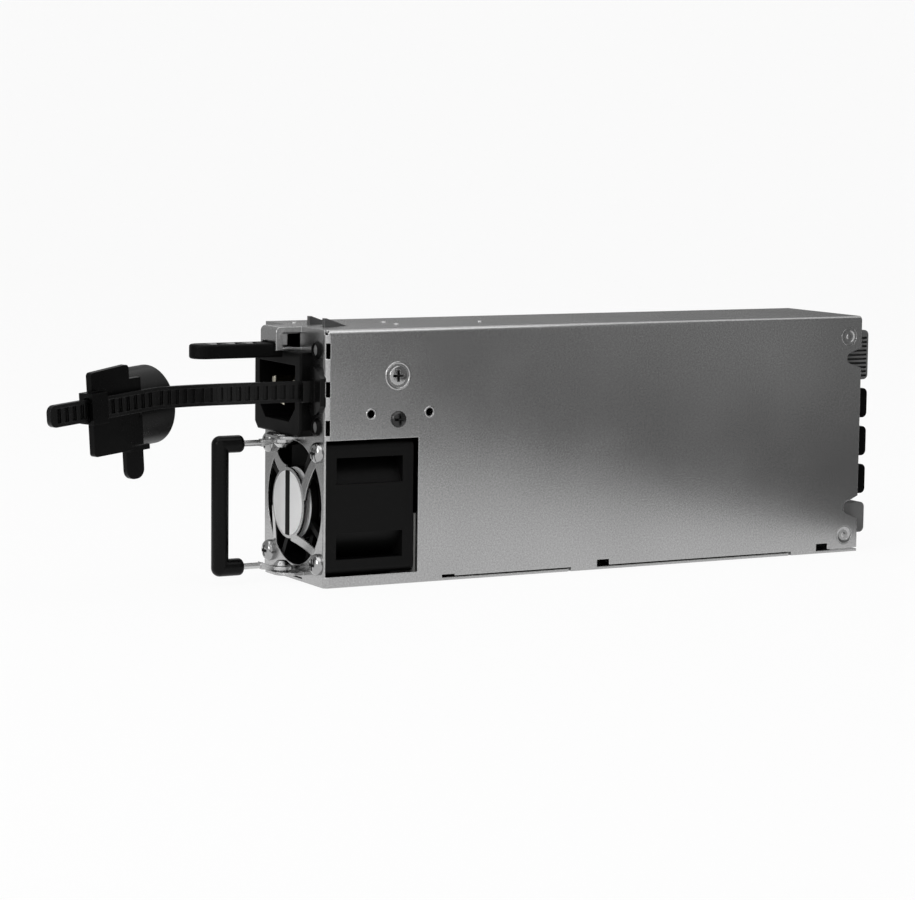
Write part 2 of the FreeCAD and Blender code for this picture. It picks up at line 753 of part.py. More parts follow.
# ================================================================ latch
def latch_leaf():
    """Spring leaf under the top sheet: pressed bead it rocks on, two saw teeth, riser that carries the tab."""
    half = leaf_width / 2.0
    wide = box(-half, half, back(2.6), back(leaf_rear_y), leaf_bottom, leaf_top)
    narrow = tab_width / 2.0 - 0.5
    x0, x1 = guard_centre_x - narrow, guard_centre_x + narrow
    neck = box(x0, x1, back(riser_front_y + 0.3), back(3.0), leaf_bottom, leaf_top)
    riser = box(x0, x1, back(riser_front_y + 0.3), back(riser_front_y + 0.3 + leaf_thickness),
                tab_top - tab_height / 2.0 - 0.4, leaf_top)
    core = box(x0, x1, back(riser_front_y - 16.0), back(riser_front_y + 0.3 + leaf_thickness),
               tab_top - tab_height / 2.0 - 0.4, tab_top - tab_height / 2.0 + 0.4)
    teeth = []
    for sx in (-1, 1):
        x = tooth_centre_x + sx * tooth_spacing / 2.0 - tooth_thickness / 2.0
        y = back(tooth_front_y)
        saw = [
            (x, y, leaf_top - 0.1), (x, y, case_height + tooth_height),
            (x, y + 0.8, case_height + tooth_height),
            (x, y + tooth_length, case_height), (x, y + tooth_length, leaf_top - 0.1),
        ]
        teeth.append(prism(saw, (tooth_thickness, 0, 0)))
    bead = rod("x", leaf_bead_radius, -half, half, back(latch_rivet_y), (leaf_bottom + leaf_top) / 2.0)
    leaf = join([wide, bead, neck, riser, core] + teeth)
    for sx in (-1, 1):
        rivet = sx * latch_rivet_spacing / 2.0
        leaf = leaf.cut(rod("z", 1.35, leaf_bottom - 1, leaf_top + 1, rivet, back(latch_rivet_y)))
    return leaf


def release_tab():
    """Black finger tab moulded over the end of the leaf, with a round nose and three shallow pockets."""
    half = tab_width / 2.0
    x0, x1 = guard_centre_x - half, guard_centre_x + half
    z0, z1 = tab_top - tab_height, tab_top
    nose_y = riser_rear_y - tab_length + half
    slab = box(x0, x1, back(nose_y), back(riser_rear_y), z0, z1)
    nose = rod("z", half, z0, z1, guard_centre_x, back(nose_y))
    tab = join([slab, nose])
    level = [e for e in tab.Edges if abs(e.BoundBox.ZLength) < 1e-6]
    rims = [e for e in level if e.CenterOfMass.y < back(riser_rear_y - 0.1)]
    tab = tab.makeFillet(0.7, rims)
    for k in range(3):
        centre = nose_y + 1.4 + 5.6 * k
        tab = tab.cut(box(x0 + 1.6, x1 - 1.6, back(centre), back(centre + 3.6), z1 - 0.6, z1 + 1))
    return tab.cut(latch_leaf())


def latch_rivets():
    """Two rivets that hold the leaf under the top sheet."""
    rivets = []
    for sx in (-1, 1):
        x, y = sx * latch_rivet_spacing / 2.0, back(latch_rivet_y)
        shank = rod("z", 1.0, leaf_bottom - leaf_gap, case_height, x, y)
        foot = rod("z", 2.0, leaf_bottom - leaf_gap - 0.8, leaf_bottom - leaf_gap, x, y)
        rivets.append(join([shank, foot]))
    return group(rivets)


# ================================================================ handle
def handle_path(arm_start):
    """U-shaped centre line from one arm, round the bar, to the other arm."""
    x = handle_x
    bar_y = back(pivot_y - handle_reach)
    start_y = back(pivot_y) - arm_start
    r = wire_bend
    k = r * (1.0 - math.sqrt(0.5))
    v = FreeCAD.Vector
    top = Part.LineSegment(v(x, start_y, wire_top), v(x, bar_y + r, wire_top)).toShape()
    bend_1 = Part.Arc(
        v(x, bar_y + r, wire_top), v(x, bar_y + k, wire_top - k), v(x, bar_y, wire_top - r)).toShape()
    bar = Part.LineSegment(v(x, bar_y, wire_top - r), v(x, bar_y, wire_bottom + r)).toShape()
    bend_2 = Part.Arc(
        v(x, bar_y, wire_bottom + r), v(x, bar_y + k, wire_bottom + k), v(x, bar_y + r, wire_bottom)).toShape()
    low = Part.LineSegment(v(x, bar_y + r, wire_bottom), v(x, start_y, wire_bottom)).toShape()
    return Part.Wire([top, bend_1, bar, bend_2, low])


def pipe(path, radius):
    """Round bar swept along a path that starts along -Y."""
    start = path.Edges[0].Vertexes[0].Point
    rim = Part.Wire(Part.makeCircle(radius, start, AXES["y"]))
    return path.makePipeShell([rim], True, True)


def lug_heights():
    """Lower face of the upper lug and of the lower lug."""
    return ear_top_z - lug_gap - lug_thickness, ear_bottom_z + sheet + lug_gap


def lug_neck(lug_z, wire_z):
    """Stretch of wire hammered flat, and stepped over to its lug's height."""
    x = handle_x - neck_width / 2.0
    y_flat = back(pivot_y) - neck_start
    y_round = y_flat - neck_length
    half = wire_radius * 1.15
    side = [
        (x, y_flat, lug_z), (x, y_flat, lug_z + lug_thickness),
        (x, y_round, wire_z + half), (x, y_round, wire_z - half),
    ]
    return prism(side, (neck_width, 0, 0))


def handle_wire():
    """Steel wire bail with its two ends flattened into lugs."""
    pieces = [pipe(handle_path(neck_start + neck_length - neck_lap), wire_radius)]
    for lug_z, wire_z in zip(lug_heights(), (wire_top, wire_bottom)):
        disc = rod("z", lug_radius, lug_z, lug_z + lug_thickness, handle_x, back(pivot_y))
        bore = rod("z", pivot_radius + pivot_fit, lug_z - 1, lug_z + lug_thickness + 1, handle_x, back(pivot_y))
        pieces += [lug_neck(lug_z, wire_z), disc.cut(bore)]
    return join(pieces)


def handle_grip():
    """Black sleeve over the bar and the outer ends of both arms, with tight round corners."""
    bar_y = back(pivot_y - handle_reach)
    pieces = [rod("z", grip_radius, wire_bottom, wire_top, handle_x, bar_y)]
    for z in (wire_bottom, wire_top):
        arm = rod("y", grip_radius, bar_y, bar_y + grip_arm, handle_x, z)
        mouth = [e for e in arm.Edges if abs(e.CenterOfMass.y - bar_y - grip_arm) < 1e-6]
        pieces.append(arm.makeFillet(grip_radius * 0.5, mouth))
        pieces.append(Part.makeSphere(grip_radius, FreeCAD.Vector(handle_x, bar_y, z)))
    return join(pieces).cut(pipe(handle_path(handle_reach - grip_arm - 3.0), wire_radius))


def handle_rivets():
    """Upper and lower pivot rivets."""
    y = back(pivot_y)
    rivets = []
    upper, lower = lug_heights()
    shank = rod("z", pivot_radius, upper - lug_gap, ear_top_z + sheet, handle_x, y)
    inner = cone("z", 1.4, rivet_head_radius, upper - lug_gap - rivet_head, upper - lug_gap, handle_x, y)
    cap = rod("z", rivet_head_radius, ear_top_z + sheet, ear_top_z + sheet + low_head, handle_x, y)
    rivets.append(join([shank, inner, cap]))
    top = lower + lug_thickness + lug_gap
    shank = rod("z", pivot_radius, ear_bottom_z, top, handle_x, y)
    inner = cone("z", rivet_head_radius, 1.4, top, top + rivet_head, handle_x, y)
    cap = rod("z", rivet_head_radius, ear_bottom_z - 2.0 * low_head, ear_bottom_z, handle_x, y)
    rivets.append(join([shank, inner, cap]))
    return group(rivets)


# ================================================================ cord retainer
def strap_frame():
    """Placement whose X runs along the strap's outer stretch, Y across it and Z up its height."""
    turn, droop = math.radians(strap_turn_deg), math.radians(strap_droop_deg)
    along = FreeCAD.Vector(
        math.sin(turn) * math.cos(droop), -math.cos(turn) * math.cos(droop), -math.sin(droop))
    across = FreeCAD.Vector(math.cos(turn), math.sin(turn), 0)
    up = along.cross(across)
    origin = FreeCAD.Vector(
        strap_x + strap_bend_radius * (1.0 - math.cos(turn)),
        back(strap_bend_y) - strap_bend_radius * math.sin(turn), strap_z)
    matrix = FreeCAD.Matrix(
        along.x, across.x, up.x, origin.x,
        along.y, across.y, up.y, origin.y,
        along.z, across.z, up.z, origin.z,
        0, 0, 0, 1)
    return FreeCAD.Placement(matrix)


def placed(shape):
    """Move a shape from the strap's own frame into the case's frame."""
    shape.Placement = strap_frame().multiply(shape.Placement)
    return shape


def ladder(length, first):
    """Straight ladder along +X: a web, two rails and the rungs between them."""
    h, t = strap_height / 2.0, strap_thickness / 2.0
    pieces = [box(0, length, -t, -t + strap_web, -h, h)]
    for z0 in (-h, h - rail_height):
        pieces.append(box(0, length, -t, t, z0, z0 + rail_height))
    count = int((length - first - rung_width) / rung_pitch) + 1
    for k in range(count):
        x = first + rung_pitch * k
        pieces.append(box(x, x + rung_width, -t, t - 0.2, -h, h))
    return join(pieces)


def strap_bend():
    """Curved stretch of the strap, bent flatwise in plan."""
    turn = strap_turn_deg
    centre = FreeCAD.Vector(strap_x + strap_bend_radius, back(strap_bend_y), strap_z - strap_height / 2.0)
    t = strap_thickness / 2.0

    def sector(r0, r1, z0, z1, start, end):
        spot = FreeCAD.Vector(centre.x, centre.y, z0)
        wedge = Part.makeCylinder(r1, z1 - z0, spot, AXES["z"], end - start)
        wedge = wedge.cut(Part.makeCylinder(r0, z1 - z0, spot, AXES["z"]))
        wedge.rotate(spot, AXES["z"], 180.0 + start)
        return wedge

    r = strap_bend_radius
    z0, z1 = strap_z - strap_height / 2.0, strap_z + strap_height / 2.0
    pieces = [sector(r + t - strap_web, r + t, z0, z1, 0, turn)]
    pieces.append(sector(r - t, r + t, z0, z0 + rail_height, 0, turn))
    pieces.append(sector(r - t, r + t, z1 - rail_height, z1, 0, turn))
    step = math.degrees(rung_pitch / r)
    for k in range(int(turn / step)):
        start = step * (k + 0.3)
        pieces.append(sector(r - t + 0.2, r + t, z0, z1, start, start + math.degrees(rung_width / r)))
    return join(pieces)


def retainer_strap():
    """One nylon moulding: push-in anchor with its umbrella, neck, and the long ladder strap."""
    inlet_edge = inlet_centre_x + inlet_width / 2.0 + slide_gap
    umbrella = rod("y", anchor_radius, back(-anchor_thickness), back(0), strap_x + 0.4, strap_z)
    umbrella = umbrella.common(box(inlet_edge, half_width - 0.3, back(-5), back(0), 0, case_height))
    neck = box(inlet_edge, inlet_edge + 3.6, back(-anchor_thickness - anchor_neck), back(-anchor_thickness),
               strap_z - strap_height / 2.0, strap_z + strap_height / 2.0)
    post = rod("y", push_pin_radius - slip_gap, back(0), back(sheet + 0.2), strap_x + 2.0, strap_z)
    barb = cone("y", push_pin_radius + 0.7, 1.0, back(sheet + 0.1), back(sheet + 4.0), strap_x + 2.0, strap_z)
    run = ladder(-strap_bend_y - anchor_thickness, 4.0)
    run.rotate(FreeCAD.Vector(0, 0, 0), AXES["z"], -90.0)
    run.translate(FreeCAD.Vector(strap_x, back(-anchor_thickness), strap_z))
    outer = ladder(strap_tail + 0.4, 0.9)
    nose = box(strap_tail - 2.0, strap_tail + 0.4, -strap_thickness / 2.0, strap_thickness / 2.0,
               -strap_height / 2.0, strap_height / 2.0)
    outer = join([outer, nose])
    outer = outer.makeFillet(
        2.0, edges_along(outer, "y", lambda p: p.x > strap_tail + 0.3 and abs(p.z) > strap_height / 2.0 - 0.01))
    outer.translate(FreeCAD.Vector(-0.4, 0, 0))
    return join([umbrella, neck, post, barb, run, strap_bend(), placed(outer)])


def clamp_housing():
    """Plate and channel that slide on the ladder, with a flat web that carries the cord loop."""
    t = strap_thickness / 2.0 + slide_gap
    h = strap_height / 2.0 + slide_gap
    back_face = -t - plate_thickness
    plate = prism(
        [(plate_start, back_face, -plate_down), (plate_end, back_face, -plate_down),
         (plate_end, back_face, plate_up_end), (plate_start, back_face, plate_up_start)],
        (0, plate_thickness, 0))
    plate = plate.makeFillet(1.0, edges_along(plate, "y", lambda p: True))
    channel = box(channel_start, channel_end, back_face, t + channel_wall, -h - channel_floor, h + channel_wall)
    web = box(ring_end - web_lap, plate_start + 2.0, back_face, -t, -web_down, web_up)
    window = box(channel_start - 1, channel_end + 1, -t, t, -h, h)
    housing = join([plate, channel, web]).cut(window)
    return placed(housing.cut(clamp_loop_local()))


def clamp_loop_local():
    """Cord loop in the strap's own frame: a broad band, its ratchet lock and the tail hanging below."""
    centre_y = -(strap_thickness / 2.0 + slide_gap + ring_outer_radius)
    centre_z = -ring_drop
    spot = FreeCAD.Vector(ring_start, centre_y, centre_z)
    band = Part.makeCylinder(ring_outer_radius, ring_end - ring_start, spot, AXES["x"])
    bore = Part.makeCylinder(ring_outer_radius - ring_wall, ring_end - ring_start, spot, AXES["x"])
    top = centre_z - ring_outer_radius + ring_wall / 2.0
    tail = box(tail_start, tail_end, centre_y - tail_thickness / 2.0, centre_y + tail_thickness / 2.0,
               top - tail_length, top)
    tips = edges_along(tail, "y", lambda p: p.z < top - tail_length / 2.0)
    tail = tail.makeFillet((tail_end - tail_start) * 0.42, tips)
    lock = box(tail_start - 0.5, tail_end + 0.5, centre_y - 3.0, centre_y + 3.0, top - 1.6, top + 0.4)
    return join([band, tail, lock]).cut(bore)


def clamp_loop():
    """Cord loop in its place on the strap."""
    return placed(clamp_loop_local())


# ================================================================ side fasteners and indicators
def silver_screw():
    """Countersunk screw of the side wall."""
    x, y, z = inner_right, back(silver_screw_y), silver_screw_z
    head = cone("x", 1.25, 2.5, x, half_width - 0.05, y, z)
    shank = rod("x", 1.25, inner_right - 3.4, x, y, z)
    return join([head, shank])


def black_screw():
    """Pan head screw of the side wall."""
    y, z = back(black_screw_y), black_screw_z
    rim = rod("x", black_head_radius, half_width, half_width + black_head * 0.6, y, z)
    crown = cone("x", black_head_radius, black_head_radius - black_head * 0.4,
                 half_width + black_head * 0.6, half_width + black_head, y, z)
    shank = rod("x", 1.25, inner_right - 3.4, half_width, y, z)
    return join([rim, crown, shank])


def led_holders():
    """Two black indicator bezels pushed into the front panel."""
    holders = []
    for z in led_z:
        rim = cone("y", led_bezel_radius - 0.5, led_bezel_radius, back(-1.0), back(0), led_x, z)
        barrel = rod("y", led_body_radius, back(0), back(3.0), led_x, z)
        holders.append(join([rim, barrel]).cut(rod("y", led_dome_radius, back(-2), back(4), led_x, z)))
    return group(holders)


def led_lenses():
    """Domed indicator lamps in the bezels."""
    lamps = []
    for z in led_z:
        barrel = rod("y", led_dome_radius, back(-0.4), back(3.6), led_x, z)
        dome = Part.makeSphere(led_dome_radius, FreeCAD.Vector(led_x, back(-0.4), z))
        front = rod("y", led_dome_radius + 1, back(-0.4 - led_dome_radius), back(-0.4), led_x, z)
        lamps.append(join([barrel, dome.common(front)]))
    return group(lamps)


def rear_studs():
    """Clinch studs pressed flush into the side wall, holding the connector."""
    studs = []
    for z in rear_stud_z:
        y = back(rear_stud_y)
        head = rod("x", rear_stud_radius, inner_right, half_width, y, z)
        post = rod("x", 1.4, connector_near_x - 2.0, inner_right, y, z)
        studs.append(join([head, post]))
    return group(studs)


# ================================================================ boards and power parts
def board_corner_spots():
    """Y and Z of the four board standoffs."""
    ys = (back(board_front_y + board_screw_inset), back(board_rear_y - board_screw_inset))
    zs = (board_bottom + board_screw_inset, board_top - board_screw_inset)
    return [(y, z) for y in ys for z in zs]


def main_board():
    """Main circuit board, parallel to the side wall."""
    board = box(board_far_x, board_near_x, back(board_front_y), back(board_rear_y), board_bottom, board_top)
    return board.cut([rod("x", board_hole_radius, board_far_x - 1, board_near_x + 1, y, z)
                      for y, z in board_corner_spots()])


def board_standoffs():
    """Four standoffs pressed on the side wall."""
    return group([
        rod("x", 2.6, board_near_x, inner_right, y, z).cut(rod("x", 1.2, board_near_x, inner_right, y, z))
        for y, z in board_corner_spots()])


def board_screws():
    """Four screws that hold the board on its standoffs."""
    return group([
        join([rod("x", 2.4, board_far_x - 1.6, board_far_x, y, z),
              rod("x", 1.2, board_far_x, inner_right, y, z)])
        for y, z in board_corner_spots()])


def insulator():
    """Insulating film between the board and the side wall."""
    film = box(inner_right - insulator_thickness, inner_right, back(board_front_y), back(board_rear_y - 1.0),
               board_bottom, board_top)
    return film.cut([rod("x", 2.6 + 0.4, inner_right - 2, half_width, y, z) for y, z in board_corner_spots()])


def on_board(height, y, length, z, tall):
    """Block that stands on the board's component side."""
    return box(board_far_x - height, board_far_x, back(y), back(y + length), z, z + tall)


def filter_choke():
    """Common mode choke: a ring core on its base."""
    y, z = back(54.0), board_top - 12.9
    ring = rod("x", 9.5, board_far_x - 14.0, board_far_x - 3.0, y, z)
    ring = ring.cut(rod("x", 4.0, board_far_x - 15.0, board_far_x - 2.0, y, z))
    return join([ring, box(board_far_x - 3.0, board_far_x, y - 9.5, y + 9.5, z - 9.5, z + 9.5)])


def filter_capacitor():
    """Film capacitor across the mains."""
    return on_board(15.0, 40.0, 18.0, 28.0, 9.0)


def mains_fuse():
    """Cartridge fuse in two end caps."""
    y, z, x = back(40.0), 22.0, board_far_x - 4.0
    body = rod("y", 2.5, y, y + 20.0, x, z)
    feet = [box(x - 2.6, board_far_x, y + d, y + d + 4.0, z - 2.6, z + 2.6) for d in (0.0, 16.0)]
    return join([body] + feet)


def finned_block(height, y, length, z, tall, fins):
    """Aluminium block on the board with a comb of fins on its far face."""
    base = on_board(5.0, y, length, z, tall)
    pitch = tall / fins
    combs = [on_board(height, y, length, z + pitch * k, pitch * 0.45) for k in range(fins)]
    return join([base] + combs)


def bridge_heatsink():
    """Heat sink of the bridge rectifier."""
    return finned_block(24.0, 45.0, 14.0, 6.0, 12.0, 4)


def bridge_rectifier():
    """Bridge rectifier clamped behind its heat sink."""
    return on_board(20.0, 59.0, 4.0, 5.0, 14.0)


def boost_choke():
    """Power factor choke: wound ring on its base."""
    y, z = back(76.0), board_top - 10.2
    ring = rod("x", 9.6, board_far_x - 20.0, board_far_x - 4.0, y, z)
    ring = ring.cut(rod("x", 4.2, board_far_x - 21.0, board_far_x - 3.0, y, z))
    return join([ring, box(board_far_x - 4.0, board_far_x, y - 9.0, y + 9.0, z - 9.0, z + 9.0)])


def upper_row():
    """Foot of the parts in the board's upper row."""
    return board_top - 18.4


def bulk_capacitors():
    """Two large electrolytic capacitors lying along the board, under the power factor choke."""
    low, high = board_bottom + 2.2, upper_row() - 2.7
    radius = (high - low - part_gap) / 4.0
    y0, y1 = back(66.0), back(board_rear_y - 62.0)
    return group([rod("y", radius, y0, y1, board_far_x - radius - 0.2, z) for z in (low + radius, high - radius)])


def switch_heatsink():
    """Heat sink of the switching transistors."""
    return finned_block(26.0, 92.0, 16.0, upper_row(), 16.0, 5)


def switch_transistors():
    """Row of four transistors on the switching heat sink's rear face."""
    return group([on_board(18.0, 108.0, 4.2, upper_row() + 4.1 * k, 3.6) for k in range(4)])


def core_window():
    """Height, start, length, foot and rise of the window in the transformer's core."""
    return board_far_x - inner_left - side_clearance, board_rear_y - 51.0, 20.0, 11.0, upper_row() - 16.0


def transformer_core():
    """Ferrite core of the main transformer, as two side limbs and two yokes round the winding."""
    height, start, length, foot, rise = core_window()
    whole = on_board(height - 2.0, start - 5.0, length + 10.0, foot + 1.0, rise - 2.0)
    return whole.cut(on_board(height, start, length, foot, rise))


def transformer_winding():
    """Wound bobbin in the core's window."""
    return on_board(*core_window())


def standby_transformer():
    """Small transformer of the standby supply."""
    return on_board(14.0, 116.0, 14.0, upper_row(), 14.0)


def output_heatsink():
    """Heat sink of the synchronous rectifiers."""
    return finned_block(24.0, board_rear_y - 24.0, 8.0, 8.0, upper_row() - 12.0, 9)


def output_capacitors():
    """Row of six output capacitors standing on the board."""
    first, last = board_bottom + 10.4, board_top - 12.4
    pitch = (last - first) / 5.0
    y = back(board_rear_y - 10.0)
    radius = (pitch - part_gap) / 2.0 - 0.3
    return group([rod("x", radius, board_far_x - 16.0, board_far_x, y, first + pitch * k) for k in range(6)])


def control_board():
    """Small control card standing on the main board."""
    return on_board(24.0, board_rear_y - 36.0, 30.0, board_top - 2.4, 1.2)


def output_busbars():
    """Two copper bars from the rectifiers to the connector."""
    return group([on_board(2.0, board_rear_y - 4.6, 4.4, z, 12.0) for z in (20.0, 36.0)])


# ================================================================ output connector
def power_blocks():
    """Lower and upper end of each power module, evenly spaced between the guide and the signal module."""
    pitch = power_height + power_gap
    first = guide_block_z[1] + power_gap
    return [(first + pitch * k, first + pitch * k + power_height) for k in range(power_count)]


def connector_block(z0, z1, y0):
    """Connector module with its rear corners rounded."""
    block = box(connector_far_x, connector_near_x, back(y0), back(connector_rear_y), z0, z1)
    return block.makeFillet(block_corner, edges_along(block, "x", lambda p: p.y > back(connector_rear_y - 1.0)))


def connector_spine():
    """Moulded spine that ties the connector's modules together at the board's edge."""
    spine = box(connector_far_x, connector_near_x, back(connector_front_y), back(spine_rear_y),
                spine_bottom, spine_top)
    return spine.cut(stud_pockets())


def stud_pockets():
    """Blind holes for the studs in the connector's near face."""
    return [rod("x", 1.5, connector_near_x - 2.2, connector_near_x + 1, back(rear_stud_y), z) for z in rear_stud_z]


def signal_block():
    """Signal module with grooved near face and a row of contact slots."""
    low, high = signal_block_z
    block = connector_block(low, high, spine_rear_y).cut(stud_pockets())
    count = int((high - low - 1.2) / groove_pitch)
    cuts = []
    for k in range(count):
        z = low + 0.9 + groove_pitch * k
        cuts.append(box(connector_near_x - groove_depth, connector_near_x + 1, back(spine_rear_y) + 0.4,
                        back(connector_rear_y) - 0.6, z, z + groove_width))
    slot_x = connector_near_x - connector_thickness / 2.0
    cuts.append(box(slot_x - 1.2, slot_x + 1.2, back(connector_rear_y - 7.0), back(connector_rear_y + 1),
                    low + 1.4, high - 1.4))
    return block.cut(cuts)


def power_modules():
    """Three power modules, each with a socket for two blades."""
    modules = []
    slot_x = connector_near_x - connector_thickness / 2.0
    for low, high in power_blocks():
        block = connector_block(low, high, spine_rear_y)
        socket = box(slot_x - 3.6, slot_x + 3.6, back(connector_rear_y - 8.0), back(connector_rear_y + 1),
                     low + 1.6, high - 1.6)
        modules.append(block.cut(socket))
    return group(modules)


def guide_block():
    """Guide module at the lower end, with a tapered guide hole."""
    low, high = guide_block_z
    block = connector_block(low, high, spine_rear_y).cut(stud_pockets())
    hole = rod("y", 2.6, back(connector_rear_y - 8.0), back(connector_rear_y + 1),
               connector_near_x - connector_thickness / 2.0, (low + high) / 2.0)
    return block.cut(hole)


def power_contacts():
    """Two copper blades in each power module."""
    blades = []
    slot_x = connector_near_x - connector_thickness / 2.0
    for low, high in power_blocks():
        for sx in (-1, 1):
            x = slot_x + sx * 2.9
            blades.append(box(x - 0.5, x + 0.5, back(connector_rear_y - 8.0), back(connector_rear_y - 1.5),
                              low + 2.2, high - 2.2))
    return group(blades)


NODES = {
    "case_shell": case_shell,
    "case_cover": case_cover,
    "fan_frame": fan_frame,
    "fan_rotor": fan_rotor,
    "fan_shaft": fan_shaft,
    "rotor_magnet": rotor_magnet,
    "fan_bearings": fan_bearings,
    "fan_stator": fan_stator,
    "hub_sticker": hub_sticker,
    "grille_label": grille_label,
    "fan_screws": fan_screws,
    "air_baffle": air_baffle,
    "inlet_body": inlet_body,
    "inlet_pins": inlet_pins,
    "inlet_bracket": inlet_bracket,
    "latch_leaf": latch_leaf,
    "release_tab": release_tab,
    "latch_rivets": latch_rivets,
    "handle_wire": handle_wire,
    "handle_grip": handle_grip,
    "handle_rivets": handle_rivets,
    "retainer_strap": retainer_strap,
    "clamp_housing": clamp_housing,
    "clamp_loop": clamp_loop,
    "silver_screw": silver_screw,
    "black_screw": black_screw,
    "led_holders": led_holders,
    "led_lenses": led_lenses,
    "rear_studs": rear_studs,
    "main_board": main_board,
    "board_standoffs": board_standoffs,
    "board_screws": board_screws,
    "insulator": insulator,
    "filter_choke": filter_choke,
    "filter_capacitor": filter_capacitor,
    "mains_fuse": mains_fuse,
    "bridge_heatsink": bridge_heatsink,
    "bridge_rectifier": bridge_rectifier,
    "boost_choke": boost_choke,
    "bulk_capacitors": bulk_capacitors,
    "switch_heatsink": switch_heatsink,
    "switch_transistors": switch_transistors,
    "transformer_core": transformer_core,
    "transformer_winding": transformer_winding,
    "standby_transformer": standby_transformer,
    "output_heatsink": output_heatsink,
    "output_capacitors": output_capacitors,
    "control_board": control_board,
    "output_busbars": output_busbars,
    "connector_spine": connector_spine,
    "signal_block": signal_block,
    "power_modules": power_modules,
    "guide_block": guide_block,
    "power_contacts": power_contacts,
}

os.makedirs("parts", exist_ok=True)
for node_name, make_node in NODES.items():
    save(node_name, make_node())
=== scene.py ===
import json
import math

import bmesh
import bpy
from bpy.props import FloatProperty, FloatVectorProperty, IntProperty, PointerProperty
from mathutils import Matrix, Vector


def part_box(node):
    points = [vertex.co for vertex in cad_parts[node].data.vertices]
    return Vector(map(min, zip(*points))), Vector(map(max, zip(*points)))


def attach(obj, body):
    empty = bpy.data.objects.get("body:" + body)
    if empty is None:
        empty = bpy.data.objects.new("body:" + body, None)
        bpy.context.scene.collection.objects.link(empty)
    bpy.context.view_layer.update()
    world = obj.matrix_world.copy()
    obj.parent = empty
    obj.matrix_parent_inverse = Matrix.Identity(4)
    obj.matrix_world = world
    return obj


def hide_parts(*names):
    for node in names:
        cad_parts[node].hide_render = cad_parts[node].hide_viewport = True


bl_info = {
    "name": "Hot Swap Power Supply",
    "version": (1, 0, 0),
    "blender": (4, 5, 0),
    "location": "View3D > Sidebar > Power Supply",
    "description": "Dresses the packed power supply model: finishes, fasteners, labels and a plain studio",
    "category": "Object",
}

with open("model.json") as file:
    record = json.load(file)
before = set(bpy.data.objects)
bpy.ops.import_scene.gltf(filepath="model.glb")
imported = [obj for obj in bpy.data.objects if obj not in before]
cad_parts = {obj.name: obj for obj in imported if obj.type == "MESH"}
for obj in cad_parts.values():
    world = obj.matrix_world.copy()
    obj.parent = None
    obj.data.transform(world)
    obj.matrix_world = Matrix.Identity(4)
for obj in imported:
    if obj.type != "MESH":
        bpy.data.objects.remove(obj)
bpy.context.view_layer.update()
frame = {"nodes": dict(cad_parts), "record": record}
NODES = frame["nodes"]
MM = 0.001

# Outlines of turned heads from the centre outwards, as shares of the head's radius and height.
PAN_HEAD = ((0, 1.0), (0.30, 0.985), (0.55, 0.93), (0.78, 0.80), (0.92, 0.60), (0.99, 0.32),
            (1.0, 0.12), (0.985, 0.0))
LOW_PAN_HEAD = ((0, 1.0), (0.35, 0.97), (0.62, 0.88), (0.84, 0.68), (0.97, 0.36), (1.0, 0.10), (0.99, 0.0))
RIVET_DOME = ((0, 1.0), (0.35, 0.92), (0.70, 0.62), (1.0, 0.0))
# The same for flat heads, with heights in millimetres above the wall's face.
COUNTERSUNK_HEAD = ((0, 0.30), (0.60, 0.26), (0.95, 0.16), (1.12, 0.07), (1.10, 0.05), (1.0, 0.0))
STUD_FACE = ((0, -0.10), (0.20, -0.12), (0.28, -0.34), (0.62, -0.34), (0.70, -0.12), (0.86, 0.0),
             (0.97, 0.02), (1.0, -0.10), (1.0, -0.90))
HEAD_SEAT = -0.9 * MM           # where a flat head's shank starts
RIVET_RADIUS = 1.0 * MM
LOCATING_DIMPLES = ((-10.3, -88.0), (2.6, -33.5))   # X, Y on the top sheet in millimetres

GALVANISED = "electrogalvanised steel sheet"
SCREW_ZINC = "bright zinc plated screw steel"
BLACK_OXIDE = "black oxide steel"
STEEL_WIRE = "drawn steel wire"
# Material painted dark as the shade down in a screw's cross recess.
SCREW_RECESS_SHADE = "oily steel in a recess"
RUBBED_NYLON = "moulded nylon polished by fingers"

NOISE_SPAN = {"From Min": 0.3, "From Max": 0.7}     # most of a noise texture lies between these
SMOOTHEST = 0.05                # roughness that no finish goes below
WHITE = (1, 1, 1, 1)
BLACK = (0, 0, 0, 1)
SAME_SPOT = 1e-7                # metres: vertices closer than this are one
SENSOR_WIDTH = 36.0             # millimetres, of a full frame camera


def corners(node):
    """Lowest and highest corner of a CAD node as vectors."""
    low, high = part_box(node)
    return Vector(low), Vector(high)


# ---------------------------------------------------------------- colours and nodes
def hex_colour(code):
    """sRGB hex such as '#8f8f8f' as linear RGBA."""
    channels = [int(code[i:i + 2], 16) / 255.0 for i in (1, 3, 5)]
    linear = [c / 12.92 if c <= 0.04045 else ((c + 0.055) / 1.055) ** 2.4 for c in channels]
    return (*linear, 1.0)


def add(tree, kind, inputs=None, **settings):
    """Add a shader node, set its attributes, and set or link its inputs."""
    node = tree.nodes.new(kind)
    for name, value in settings.items():
        setattr(node, name, value)
    for name, value in (inputs or {}).items():
        if isinstance(value, bpy.types.NodeSocket):
            tree.links.new(value, node.inputs[name])
        else:
            node.inputs[name].default_value = value
    return node


def new_material(name):
    """Material without any nodes yet, and the tree that takes them."""
    material = bpy.data.materials.new(name)
    material.use_nodes = True
    material.node_tree.nodes.clear()
    return material, material.node_tree


def per_metre(size_mm):
    """Noise scale whose features are about this many millimetres across."""
    return 1.0 / (size_mm * MM)


